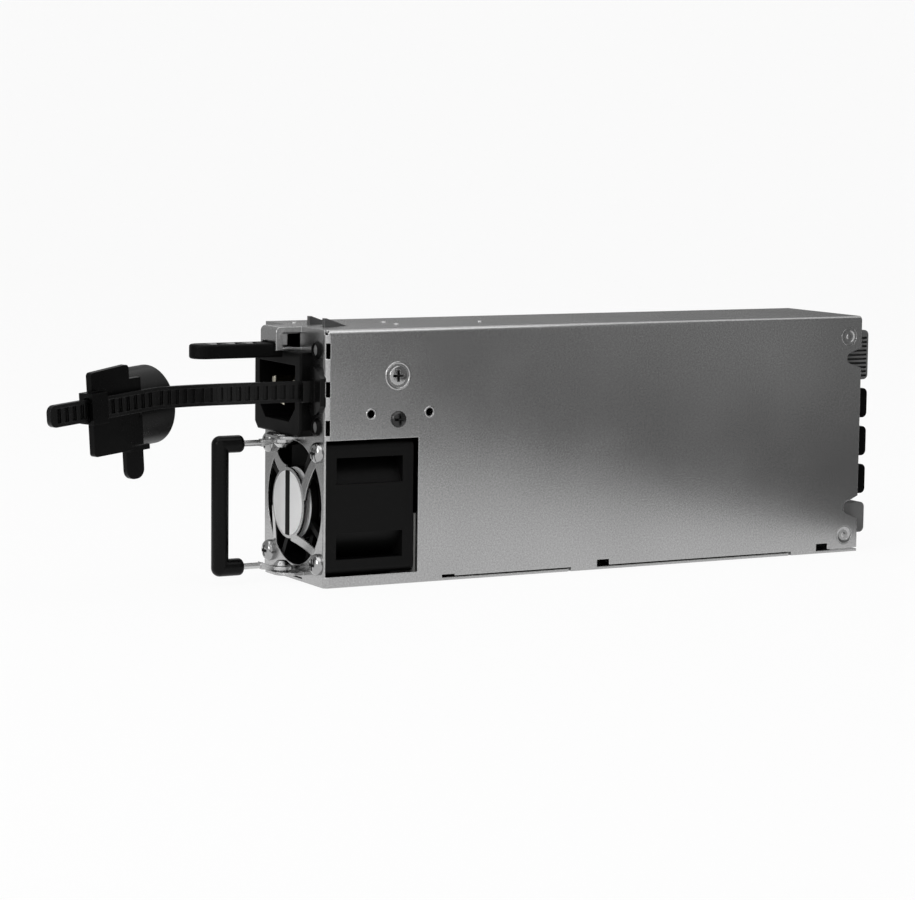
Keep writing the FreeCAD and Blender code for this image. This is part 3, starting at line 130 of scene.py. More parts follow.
# Real grain, from plating crystals to the spark marks of a tool, is finer than 0.1 mm and wouldn't show.
# Each finish draws it coarser, as its grain_mm says, so that it shows.
def surface(name, colour, metallic=0.0, roughness=0.5, rough_spread=0.06, specular=0.5, coat=0.0,
            grain_mm=0.3, grain_depth_mm=0.01, fleck=0.05, cloud_mm=12.0, cloud=0.06, stretch=(1, 1, 1),
            edge_mm=0.25, wear=0.0, groove_shade_mm=0.0):
    """Finish with fine grain, slow drifts of tone and roughness, edges lightened as wear and as painted
    highlight, and painted shade in grooves.
    """
    material, tree = new_material(name)
    place = add(tree, "ShaderNodeTexCoord").outputs["Object"]
    place = add(tree, "ShaderNodeMapping", {"Vector": place, "Scale": stretch}).outputs["Vector"]
    grain = add(tree, "ShaderNodeTexNoise", {"Vector": place, "Scale": per_metre(grain_mm), "Detail": 3.0})
    drift = add(tree, "ShaderNodeTexNoise", {"Vector": place, "Scale": per_metre(cloud_mm), "Detail": 4.0})
    clouds = add(tree, "ShaderNodeMapRange", {
        "Value": drift.outputs["Fac"], **NOISE_SPAN, "To Min": 1.0 - cloud, "To Max": 1.0 + cloud})
    flecks = add(tree, "ShaderNodeMapRange", {
        "Value": grain.outputs["Fac"], **NOISE_SPAN, "To Min": 1.0 - fleck, "To Max": 1.0 + fleck})
    tone = add(tree, "ShaderNodeMath", {
        0: clouds.outputs["Result"], 1: flecks.outputs["Result"]}, operation="MULTIPLY").outputs["Value"]
    rough = add(tree, "ShaderNodeMapRange", {
        "Value": drift.outputs["Fac"], **NOISE_SPAN,
        "To Min": max(SMOOTHEST, roughness - rough_spread),
        "To Max": min(1.0, roughness + rough_spread)})
    edge = add(tree, "ShaderNodeBevel", {"Radius": edge_mm * MM}, samples=4)
    # Edges lightened in colour where the softened normal turns from the face: partly wear, partly painted
    # highlight.
    if wear:
        face = add(tree, "ShaderNodeNewGeometry")
        turned = add(tree, "ShaderNodeVectorMath", {
            0: edge.outputs["Normal"], 1: face.outputs["Normal"]}, operation="DOT_PRODUCT")
        flat, rounded = 0.99, 0.80      # how far the softened normal agrees with the face's own
        lit_worn_edges = add(tree, "ShaderNodeMapRange", {
            "Value": turned.outputs["Value"], "From Min": flat, "From Max": rounded,
            "To Min": 1.0, "To Max": 1.0 + wear})
        tone = add(tree, "ShaderNodeMath", {
            0: tone, 1: lit_worn_edges.outputs["Result"]}, operation="MULTIPLY").outputs["Value"]
    # Painted shade: ambient occlusion darkens the colour down in grooves and slots.
    if groove_shade_mm:
        shade = add(tree, "ShaderNodeAmbientOcclusion", {"Distance": groove_shade_mm * MM}, samples=8)
        darkening = 2.0                 # power that deepens the shade down in a groove
        painted_groove_shade = add(tree, "ShaderNodeMath", {0: shade.outputs["AO"], 1: darkening}, operation="POWER")
        tone = add(tree, "ShaderNodeMath", {
            0: tone, 1: painted_groove_shade.outputs["Value"]}, operation="MULTIPLY").outputs["Value"]
    tint = add(tree, "ShaderNodeVectorMath", {0: hex_colour(colour)[:3], "Scale": tone}, operation="SCALE")
    bump = add(tree, "ShaderNodeBump", {
        "Height": grain.outputs["Fac"], "Strength": 1.0, "Distance": grain_depth_mm * MM,
        "Normal": edge.outputs["Normal"]})
    shader = add(tree, "ShaderNodeBsdfPrincipled", {
        "Base Color": tint.outputs["Vector"], "Roughness": rough.outputs["Result"],
        "Normal": bump.outputs["Normal"], "Metallic": metallic, "Coat Weight": coat,
        "Specular IOR Level": specular})
    add(tree, "ShaderNodeOutputMaterial", {"Surface": shader.outputs["BSDF"]})
    return material


def barred_label(name, paper, bar, bar_width_mm):
    """Printed vinyl disc with one plain vertical bar through its middle."""
    first, second, mixed = 6, 7, 2      # colour sockets of a mix node
    grain_mm, grain_depth_mm = 0.5, 0.02
    material, tree = new_material(name)
    place = add(tree, "ShaderNodeTexCoord").outputs["Object"]
    parts = add(tree, "ShaderNodeSeparateXYZ", {"Vector": place})
    side = add(tree, "ShaderNodeMath", {0: parts.outputs["X"]}, operation="ABSOLUTE")
    inside = add(tree, "ShaderNodeMath", {
        0: side.outputs["Value"], 1: bar_width_mm * MM / 2.0}, operation="LESS_THAN")
    print_colour = add(tree, "ShaderNodeMix", {
        "Factor": inside.outputs["Value"], first: hex_colour(paper), second: hex_colour(bar)},
        data_type="RGBA")
    grain = add(tree, "ShaderNodeTexNoise", {"Vector": place, "Scale": per_metre(grain_mm), "Detail": 2.0})
    bump = add(tree, "ShaderNodeBump", {
        "Height": grain.outputs["Fac"], "Strength": 0.3, "Distance": grain_depth_mm * MM})
    shader = add(tree, "ShaderNodeBsdfPrincipled", {
        "Base Color": print_colour.outputs[mixed], "Normal": bump.outputs["Normal"], "Roughness": 0.45,
        "Specular IOR Level": 0.04})
    add(tree, "ShaderNodeOutputMaterial", {"Surface": shader.outputs["BSDF"]})
    return material


# ---------------------------------------------------------------- mesh helpers
def to_object(name, bm, *materials):
    """Turn a finished bmesh, already in its place, into an object with its materials."""
    crease = math.radians(35.0)
    bmesh.ops.remove_doubles(bm, verts=bm.verts, dist=SAME_SPOT)
    bmesh.ops.recalc_face_normals(bm, faces=bm.faces)
    mesh = bpy.data.meshes.new(name)
    bm.to_mesh(mesh)
    bm.free()
    for material in materials:
        mesh.materials.append(material)
    piece = bpy.data.objects.new(name, mesh)
    bpy.context.scene.collection.objects.link(piece)
    for polygon in mesh.polygons:
        polygon.use_smooth = True
    mesh.set_sharp_from_angle(angle=crease)
    return piece


def lathe(bm, profile, steps):
    """Spin a profile of (radius, height) points round Z."""
    line = [bm.verts.new((radius, 0.0, height)) for radius, height in profile]
    edges = [bm.edges.new(pair) for pair in zip(line, line[1:])]
    bmesh.ops.spin(bm, geom=line + edges, cent=(0, 0, 0), axis=(0, 0, 1), angle=math.tau,
                   steps=steps, use_merge=True)
    bmesh.ops.remove_doubles(bm, verts=bm.verts, dist=SAME_SPOT)
    bmesh.ops.recalc_face_normals(bm, faces=bm.faces)


def press_cross(bm, top, half_width, reach, depth):
    """Press a tapered cross recess into the faces that look up at height top."""
    taper, shallow_end = 0.55, 0.35     # floor size against the mouth, and how much the arms' ends rise
    upright, near_top = 0.6, 0.4        # which faces belong to the crown
    on_plane = 1e-8                     # metres from a cut within which a vertex counts as on it
    for value in (-reach, -half_width, half_width, reach):
        for axis in ((1, 0, 0), (0, 1, 0)):
            geom = list(bm.verts) + list(bm.edges) + list(bm.faces)
            bmesh.ops.bisect_plane(bm, geom=geom, dist=on_plane, plane_co=Vector(axis) * value,
                                   plane_no=axis)
    mouth = []
    for face in bm.faces:
        spot = face.calc_center_median()
        across, along = sorted((abs(spot.x), abs(spot.y)))
        on_crown = face.normal.z > upright and spot.z > top - depth * near_top
        if on_crown and across < half_width and along < reach:
            mouth.append(face)
    before = set(bm.faces)
    grown = bmesh.ops.extrude_face_region(bm, geom=mouth)
    floor = [part for part in grown["geom"] if isinstance(part, bmesh.types.BMVert)]
    # The recess's new faces take the second material, painted dark as shade.
    for face in set(bm.faces) - before:
        face.material_index = 1
    bmesh.ops.delete(bm, geom=mouth, context="FACES")
    for vert in floor:
        share = max(abs(vert.co.x), abs(vert.co.y)) / reach
        vert.co.x *= taper
        vert.co.y *= taper
        vert.co.z = top - depth * (1.0 - shallow_end * share)


def facing(direction, spot):
    """Matrix that takes +Z to a direction and the origin to a spot."""
    turn = Vector((0, 0, 1)).rotation_difference(Vector(direction)).to_matrix().to_4x4()
    return Matrix.Translation(spot) @ turn


def join(whole, bm):
    """Move a bmesh's faces into another one."""
    part = bpy.data.meshes.new("part")
    bm.to_mesh(part)
    bm.free()
    whole.from_mesh(part)
    bpy.data.meshes.remove(part)


def keep(piece, body, slot, *replaced):
    """Ride a piece on its body, and hide the CAD nodes that it stands for. The slot argument is not used."""
    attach(piece, body)
    if replaced:
        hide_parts(*replaced)


# ---------------------------------------------------------------- settings
class SupplyFinishes(bpy.types.PropertyGroup):
    """Colours and sheen of the main finishes."""
    steel_tone: FloatProperty(
        name="Steel tone", description="Brightness of the zinc plated sheet, 0 to 1",
        default=0.42, min=0.02, max=1.0)
    steel_roughness: FloatProperty(
        name="Steel roughness", description="Spread of the sheet's reflections",
        default=0.24, min=0.05, max=1.0)
    plastic_roughness: FloatProperty(
        name="Plastic roughness", description="Spread of the black mouldings' sheen",
        default=0.42, min=0.05, max=1.0)


class SupplyFasteners(bpy.types.PropertyGroup):
    """Sizes of the visible screws, studs and rivets."""
    cross_width: FloatProperty(
        name="Cross width", description="Half width of a screw recess's arm",
        default=0.00042, unit="LENGTH")
    cross_reach: FloatProperty(
        name="Cross reach", description="Length of a screw recess's arm", default=0.0017, unit="LENGTH")
    cross_depth: FloatProperty(
        name="Cross depth", description="Depth of a screw recess", default=0.0011, unit="LENGTH")
    shank: FloatProperty(
        name="Shank", description="Radius of a screw's shank", default=0.0012, unit="LENGTH")
    dome: FloatProperty(
        name="Dome", description="Height of a rivet's dome on the top sheet", default=0.00035, unit="LENGTH")
    lip: FloatProperty(
        name="Lip", description="Height of the raised lip round a hole or dimple",
        default=0.00010, unit="LENGTH")
    segments: IntProperty(
        name="Segments", description="Steps round each screw head", default=48, min=12, max=128)


class SupplyTab(bpy.types.PropertyGroup):
    """Scoops in the pockets of the latch's finger tab."""
    count: IntProperty(name="Count", description="Number of pockets", default=3, min=1)
    first: FloatProperty(
        name="First", description="From the nose's centre to the first pocket",
        default=0.0015, unit="LENGTH")
    pitch: FloatProperty(
        name="Pitch", description="From one pocket to the next", default=0.0056, unit="LENGTH")
    length: FloatProperty(name="Length", description="Length of a scoop", default=0.0034, unit="LENGTH")
    border: FloatProperty(
        name="Border", description="Rim beside the pockets", default=0.0017, unit="LENGTH")
    depth: FloatProperty(name="Depth", description="Depth of the pockets", default=0.00058, unit="LENGTH")
    steps: IntProperty(name="Steps", description="Facets of a scoop's curve", default=12, min=2)


class SupplyStage(bpy.types.PropertyGroup):
    """Camera and studio."""
    lens: FloatProperty(name="Lens", description="Focal length", default=119.5, unit="CAMERA")
    yaw: FloatProperty(
        name="Yaw", description="Turn of the view from +Y towards -X",
        default=math.radians(61.42), subtype="ANGLE")
    pitch: FloatProperty(
        name="Pitch", description="Tilt of the view below level",
        default=math.radians(6.41), subtype="ANGLE")
    roll: FloatProperty(
        name="Roll", description="Roll of the camera", default=math.radians(0.69), subtype="ANGLE")
    spot: FloatVectorProperty(
        name="Camera place", description="Where the camera stands",
        default=(0.7864, -0.4674, 0.1359), subtype="TRANSLATION", unit="LENGTH")
    key: FloatProperty(
        name="Key", description="Power of the overhead soft light", default=7.0, unit="POWER")
    fill: FloatProperty(
        name="Fill", description="Strength of the room's soft light", default=0.30, min=0.0)
    backdrop: FloatProperty(
        name="Backdrop", description="Whiteness of the background", default=1.0, min=0.0)
    paper_glow: FloatProperty(
        name="Paper glow",
        description="Share of the paper's own white in its look, the rest takes the shadow",
        default=0.93, min=0.0, max=1.0)
    sweep_radius: FloatProperty(
        name="Sweep radius", description="Radius of the paper", default=2.2, unit="LENGTH")
    sweep_bend: FloatProperty(
        name="Sweep bend", description="Radius of the paper's bend", default=0.7, unit="LENGTH")
    sweep_height: FloatProperty(
        name="Sweep height", description="Height of the paper", default=2.0, unit="LENGTH")
    side_card: FloatVectorProperty(
        name="Side card", description="X, Y of the two ends of the card by the side wall",
        size=4, default=(0.022, 0.121, 0.40, 0.06), unit="LENGTH")
    side_card_glow: FloatProperty(
        name="Side card glow", description="Brightness of the side card", default=0.17)
    glow_rise: FloatProperty(
        name="Glow rise", description="Extra brightness of the side card higher up", default=0.16)
    glow_rise_low: FloatProperty(
        name="Glow rise low", description="Height where the side card starts to brighten",
        default=0.015, unit="LENGTH")
    glow_rise_high: FloatProperty(
        name="Glow rise high", description="Height where the side card is brightest",
        default=0.06, unit="LENGTH")
    glow_rise_out: FloatProperty(
        name="Glow rise out", description="X from where the side card's rise is full",
        default=0.11, unit="LENGTH")
    glow_rise_end: FloatProperty(
        name="Glow rise end", description="Share of the rise at the card's inner end", default=0.25)
    glow_far_end: FloatProperty(
        name="Glow far end", description="Share of the glow that is left at the card's far end",
        default=0.45)
    rear_card: FloatVectorProperty(
        name="Rear card", description="X, Y of the two ends of the card behind the module",
        size=4, default=(-1.2, 0.35, 0.06, 0.35), unit="LENGTH")
    rear_card_glow: FloatProperty(
        name="Rear card glow", description="Brightness of the rear card", default=0.18)
    rear_card_foot: FloatProperty(
        name="Rear card foot", description="Height of the rear card's lower edge",
        default=0.07, unit="LENGTH")
    front_card: FloatVectorProperty(
        name="Front card", description="X, Y of the two ends of the card beside the front panel",
        size=4, default=(-0.22, -0.02, -0.04, -0.36), unit="LENGTH")
    front_card_glow: FloatProperty(
        name="Front card glow", description="Brightness of the front card", default=0.40)
    card_height: FloatProperty(
        name="Card height", description="Height of the cards", default=0.30, unit="LENGTH")


# ---------------------------------------------------------------- finishes
class SUPPLY_OT_finishes(bpy.types.Operator):
    """Make every finish and give each CAD node its own"""
    bl_idname = "supply.finishes"
    bl_label = "Finishes"

    def execute(self, context):
        looks = context.scene.supply_finishes
        dressed = set()
        rows = self.steels(looks) + self.mouldings(looks.plastic_roughness) + self.electrics()
        for material, *names in rows:
            for name in names:
                NODES[name].data.materials.clear()
                NODES[name].data.materials.append(material)
                dressed.add(name)
        bare = sorted(set(NODES) - dressed)
        if bare:
            raise RuntimeError("no finish for " + ", ".join(bare))
        return {"FINISHED"}

    def steels(self, looks):
        """Finishes of the steel pieces, each with the nodes that wear it."""
        display_gamma = 2.2
        tone = "#" + 3 * ("%02x" % round(255 * looks.steel_tone ** (1 / display_gamma)))
        return (
            # Electro-galvanised cold-rolled sheet: satin grey with a fine crystalline sparkle, its edges
            # lightened as wear and as painted highlight.
            (surface(GALVANISED, tone, metallic=1.0, roughness=looks.steel_roughness, rough_spread=0.012,
                     grain_mm=0.5, grain_depth_mm=0.009, fleck=0.13, cloud_mm=30.0, cloud=0.05,
                     edge_mm=0.35, wear=0.25),
             "case_shell", "case_cover", "inlet_bracket", "rear_studs"),
            # Cold-headed steel with bright zinc: soft mirror with small dents, its edges lightened as wear
            # and as painted highlight.
            (surface(SCREW_ZINC, "#a2a2a2", metallic=1.0, roughness=0.15, grain_mm=0.5,
                     grain_depth_mm=0.02, cloud_mm=3.0, wear=0.4),
             "fan_screws", "silver_screw", "board_standoffs", "board_screws"),
            # The same steel down in a screw's cross: rougher, and painted dark as the shade that falls in
            # the recess.
            (surface(SCREW_RECESS_SHADE, "#262626", metallic=0.8, roughness=0.45, grain_mm=0.3),),
            # Drawn steel wire: polished along its length.
            (surface(STEEL_WIRE, "#bdbdbd", metallic=1.0, roughness=0.22, grain_mm=0.4,
                     grain_depth_mm=0.01, cloud_mm=5.0),
             "handle_wire", "handle_rivets", "fan_shaft", "fan_bearings", "latch_rivets"),
            # Hardened strip: darker, with fine rolling lines.
            (surface("hardened spring strip", "#747474", metallic=1.0, roughness=0.34, grain_mm=0.25,
                     stretch=(1, 0.08, 1)),
             "latch_leaf"),
            # Black oxide on steel: near black, oily sheen, its edges lightened as wear and as painted
            # highlight.
            (surface(BLACK_OXIDE, "#0e0e0e", metallic=0.2, roughness=0.22, grain_mm=0.4,
                     grain_depth_mm=0.02, specular=0.6, wear=0.8),
             "black_screw"),
        )

    def mouldings(self, black):
        """Finishes of the moulded and printed pieces, each with the nodes that wear it."""
        return (
            # Glass filled polyester moulded in a spark eroded tool: fine matt grain.
            (surface("moulded glass filled polyester", "#080808", roughness=black + 0.02, grain_mm=0.35,
                     grain_depth_mm=0.03, specular=0.07),
             "inlet_body", "release_tab", "led_holders", "connector_spine", "power_modules",
             "bridge_rectifier", "switch_transistors"),
            # Nylon that fingers have rubbed smooth, as in the release tab's pockets.
            (surface(RUBBED_NYLON, "#0a0a0a", roughness=0.16, grain_mm=0.8, grain_depth_mm=0.004,
                     specular=0.6),),
            # Moulded nylon: smoother than the polyester, with a waxy sheen.
            (surface("moulded nylon", "#030303", roughness=black - 0.12, grain_mm=0.6, grain_depth_mm=0.01,
                     specular=0.12),
             "clamp_housing", "clamp_loop"),
            # The strap's nylon comes from a polished tool and is glossier than the clamp's.
            (surface("glossy moulded nylon", "#0a0a0a", roughness=black - 0.18, grain_mm=0.6,
                     grain_depth_mm=0.006, specular=0.24),
             "retainer_strap"),
            # Dip moulded vinyl sleeve: soft black with slow ripples.
            (surface("dip moulded vinyl", "#040404", roughness=black - 0.16, grain_mm=1.6,
                     grain_depth_mm=0.02, specular=0.13),
             "handle_grip"),
            # Fan frame and blades: the same polyester, duller from its glass fibre.
            (surface("fan polyester", "#080808", roughness=black + 0.06, grain_mm=0.3, grain_depth_mm=0.02,
                     specular=0.13),
             "fan_frame", "fan_rotor"),
            # Printed vinyl: white disc with a black bar, and almost no shine.
            (barred_label("printed vinyl label", "#f0f0f0", "#060606", bar_width_mm=3.0), "grille_label"),
            # Plain vinyl sticker: clean white with a light sheen.
            (surface("plain vinyl sticker", "#f6f6f6", roughness=0.45, grain_mm=0.6, grain_depth_mm=0.01),
             "hub_sticker"),
            # Diffused acrylic indicator lens: smoky grey dome.
            (surface("smoky acrylic", "#747474", roughness=0.18, grain_mm=0.8, grain_depth_mm=0.0, coat=0.4),
             "led_lenses"),
            # Unpainted grey polyester: mid grey, its slots darkened by painted shade.
            (surface("moulded grey polyester", "#6a6a6a", roughness=0.45, grain_mm=0.3, specular=0.3,
                     groove_shade_mm=1.2),
             "signal_block", "guide_block", "filter_capacitor"),
            # Flame retardant film: thin grey sheet with a dull sheen.
            (surface("flame retardant film", "#6a6a68", roughness=0.40, grain_mm=0.5, specular=0.3),
             "air_baffle", "insulator"),
        )

    def electrics(self):
        """Finishes of the electrical pieces, each with the nodes that wear it."""
        return (
            # Nickel on brass: pale warm mirror.
            (surface("nickel plated brass", "#c9c4b4", metallic=1.0, roughness=0.2, grain_mm=0.5),
             "inlet_pins"),
            # Sintered ferrite: charcoal, as rough as stone.
            (surface("sintered ferrite", "#232325", roughness=0.55, grain_mm=0.2, grain_depth_mm=0.03),
             "rotor_magnet", "fan_stator", "filter_choke", "boost_choke", "transformer_core",
             "standby_transformer"),
            # Glass epoxy under solder mask: green with a thin gloss.
            (surface("glass epoxy board", "#1f5a33", roughness=0.35, grain_mm=0.4, coat=0.2),
             "main_board", "control_board"),
            # Polyester tape round a winding: amber, slightly wrinkled.
            (surface("polyester tape", "#c8b04a", roughness=0.3, grain_mm=1.0), "transformer_winding"),
            # Glazed ceramic: off-white and glossy.
            (surface("glazed fuse ceramic", "#e4e1d8", roughness=0.3, grain_mm=0.4), "mains_fuse"),
            # Shrunk vinyl sleeve on a can: smooth black.
            (surface("sleeved capacitor can", "#17181a", roughness=0.25, grain_mm=1.2), "bulk_capacitors"),
            # Bare drawn aluminium: bright, a little cloudy.
            (surface("drawn aluminium can", "#c4c6c8", metallic=1.0, roughness=0.3, grain_mm=0.4),
             "output_capacitors"),
            # Extruded aluminium: satin with lines along the length.
            (surface("extruded aluminium", "#b4b6b8", metallic=1.0, roughness=0.36, grain_mm=0.3,
                     stretch=(1, 0.1, 1)),
             "bridge_heatsink", "switch_heatsink", "output_heatsink"),
            # Rolled copper: warm satin metal.
            (surface("rolled copper", "#c98a63", metallic=1.0, roughness=0.3, grain_mm=0.4),
             "output_busbars", "power_contacts"),
        )


# ---------------------------------------------------------------- fasteners
def scaled(outline, radius, height):
    """Outline given in shares of a radius and a height, as a profile in metres."""
    return [(r * radius, z * height) for r, z in outline]


def shank(sizes, start, foot):
    """End of a profile: from a head's underside down its shank to the foot."""
    return [(sizes.shank, start), (sizes.shank, foot), (0.0, foot)]


def turned_heads(places, profile, sizes, cross=True):
    """Like heads turned from one profile, each moved by its matrix, in one bmesh."""
    whole = bmesh.new()
    for place in places:
        bm = bmesh.new()
        lathe(bm, profile, sizes.segments)
        if cross:
            top = max(height for radius, height in profile)
            press_cross(bm, top, sizes.cross_width, sizes.cross_reach, sizes.cross_depth)
        bmesh.ops.transform(bm, matrix=place, verts=bm.verts)
        join(whole, bm)
    return whole


class SUPPLY_OT_fasteners(bpy.types.Operator):
    """Make the screws, the rear studs, the rivets and the lips pressed round the side holes"""
    bl_idname = "supply.fasteners"
    bl_label = "Fasteners"

    def execute(self, context):
        sizes = context.scene.supply_fasteners
        self.make_fan_screws(sizes)
        self.make_silver_screw(sizes)
        self.make_lips(sizes)
        self.make_black_screw(sizes)
        self.make_studs(sizes)
        self.make_rivets(sizes)
        self.make_dimples(sizes)
        return {"FINISHED"}

    def keep_screw(self, name, bm, finish, slot, replaced):
        """Keep a head on the case, in its own finish and the one painted dark with shade down in its recess.
        """
        piece = to_object(name, bm, bpy.data.materials[finish], bpy.data.materials[SCREW_RECESS_SHADE])
        keep(piece, "power_supply", slot, replaced)

    def make_fan_screws(self, sizes):
        """Four pan heads at the corners of the CAD screws' box."""
        low, high = corners("fan_screws")
        radius, height = 3.1 * MM, 2.2 * MM
        profile = scaled(PAN_HEAD, radius, height) + shank(sizes, 0.0, height - (high.y - low.y))
        places = [facing((0, -1, 0), (x, low.y + height, z))
                  for x in (low.x + radius, high.x - radius) for z in (low.z + radius, high.z - radius)]
        heads = turned_heads(places, profile, sizes)
        self.keep_screw("fan_screw_heads", heads, SCREW_ZINC, "zinc_plated_steel_screw", "fan_screws")

    def make_silver_screw(self, sizes):
        """Countersunk zinc screw in the side wall's dimple."""
        low, high = corners("silver_screw")
        middle, radius = (low + high) / 2.0, (high.z - low.z) / 2.0
        profile = scaled(COUNTERSUNK_HEAD, radius, MM) + shank(sizes, HEAD_SEAT, low.x - high.x)
        head = turned_heads([facing((1, 0, 0), (high.x, middle.y, middle.z))], profile, sizes)
        self.keep_screw("countersunk_screw", head, SCREW_ZINC, "zinc_plated_steel_screw", "silver_screw")

    def make_lips(self, sizes):
        """Raised lips round the silver screw's dimple and the two tapped holes."""
        low, high = corners("silver_screw")
        middle, wall = (low + high) / 2.0, corners("case_shell")[1].x
        rings = [(middle.y, middle.z, 3.35 * MM, 4.25 * MM)]        # the dimple's inner and outer radius
        holes = next(mount for mount in frame["record"]["mounts"] if mount["name"] == "side_bosses")
        reach, hole = holes["dims"]["spacing_x_mm"] * MM / 2.0, holes["dims"]["hole_r_mm"] * MM
        width, sunk = 0.6 * MM, -0.02 * MM
        crest = (0.3, 0.7)              # where the lip is full height, as shares of its width
        for y in (holes["pos_m"][1] - reach, holes["pos_m"][1] + reach):
            rings.append((y, holes["pos_m"][2], hole, hole + width))
        lips = bmesh.new()
        for y, z, inner, outer in rings:
            band = outer - inner
            profile = [(inner, sunk), *((inner + share * band, sizes.lip) for share in crest),
                       (outer, sunk), (inner, sunk)]
            join(lips, turned_heads([facing((1, 0, 0), (wall, y, z))], profile, sizes, cross=False))
        keep(to_object("pressed_lips", lips, bpy.data.materials[GALVANISED]),
             "power_supply", "zinc_plated_steel")

    def make_black_screw(self, sizes):
        """Black pan head on the side wall, below the silver one."""
        low, high = corners("black_screw")
        middle, radius = (low + high) / 2.0, (high.z - low.z) / 2.0
        wall = corners("case_shell")[1].x
        profile = scaled(LOW_PAN_HEAD, radius, high.x - wall) + shank(sizes, 0.0, low.x - wall)
        head = turned_heads([facing((1, 0, 0), (wall, middle.y, middle.z))], profile, sizes)
        self.keep_screw("pan_head_screw", head, BLACK_OXIDE, "black_steel", "black_screw")

    def make_studs(self, sizes):
        """Clinch studs: pressed ring, sunk face and the upset centre."""
        low, high = corners("rear_studs")
        radius, middle_y = (high.y - low.y) / 2.0, (low.y + high.y) / 2.0
        profile = scaled(STUD_FACE, radius, MM) + shank(sizes, HEAD_SEAT, low.x - high.x)
        places = [facing((1, 0, 0), (high.x, middle_y, z)) for z in (low.z + radius, high.z - radius)]
        studs = turned_heads(places, profile, sizes, cross=False)
        keep(to_object("clinch_studs", studs, bpy.data.materials[GALVANISED]),
             "power_supply", "zinc_plated_steel_screw", "rear_studs")

    def make_rivets(self, sizes):
        """Low domes of the two latch rivets, with the wide feet that they have below the leaf."""
        low, high = corners("latch_rivets")
        foot_radius, foot_height, shank_radius = (high.y - low.y) / 2.0, 0.8 * MM, 0.99 * MM
        foot = low.z - high.z
        profile = scaled(RIVET_DOME, RIVET_RADIUS, sizes.dome)
        profile += [(shank_radius, foot + foot_height), (foot_radius, foot + foot_height),
                    (foot_radius, foot), (0.0, foot)]
        places = [Matrix.Translation((x, (low.y + high.y) / 2.0, high.z))
                  for x in (low.x + foot_radius, high.x - foot_radius)]
        heads = turned_heads(places, profile, sizes, cross=False)
        keep(to_object("latch_rivet_heads", heads, bpy.data.materials[STEEL_WIRE]),
             "power_supply", "bright_steel", "latch_rivets")

    def make_dimples(self, sizes):
        """Two locating dimples pressed up through the top sheet."""
        top = corners("latch_rivets")[1].z
        rim, sunk = 1.02 * MM, -0.03 * MM
        profile = scaled(RIVET_DOME, RIVET_RADIUS, sizes.dome) + [(rim, sunk), (0.0, sunk)]
        places = [Matrix.Translation((x * MM, y * MM, top)) for x, y in LOCATING_DIMPLES]
        dimples = turned_heads(places, profile, sizes, cross=False)
        keep(to_object("locating_dimples", dimples, bpy.data.materials[GALVANISED]),
             "power_supply", "zinc_plated_steel")


# ---------------------------------------------------------------- latch tab
class SUPPLY_OT_tab_scoops(bpy.types.Operator):
    """Fill the finger tab's three pockets with smooth scooped ramps"""
    bl_idname = "supply.tab_scoops"
    bl_label = "Tab Scoops"

    def execute(self, context):
        tab = context.scene.supply_tab
        low, high = corners("release_tab")
        nose = (high.x - low.x) / 2.0
        near, far = high.x - tab.border, low.x + tab.border
        hollow, sunk = 1.7, 0.02 * MM       # power of the ramp's curve, and its depth under the floor
        whole = bmesh.new()
        for k in range(tab.count):
            start = low.y + nose + tab.first + tab.pitch * k
            line = []
            for step in range(tab.steps + 1):
                share = step / tab.steps
                line.append((near + (far - near) * share, high.z - tab.depth * (1.0 - share ** hollow)))
            line.append((far, high.z - tab.depth - sunk))
            line.append((near, high.z - tab.depth - sunk))
            side = whole.faces.new([whole.verts.new((x, start, z)) for x, z in line])
            grown = bmesh.ops.extrude_face_region(whole, geom=[side])
            far_side = [part for part in grown["geom"] if isinstance(part, bmesh.types.BMVert)]
            bmesh.ops.translate(whole, verts=far_side, vec=(0, tab.length, 0))
        keep(to_object("tab_scoops", whole, bpy.data.materials[RUBBED_NYLON]), "latch", "black_plastic")
        return {"FINISHED"}


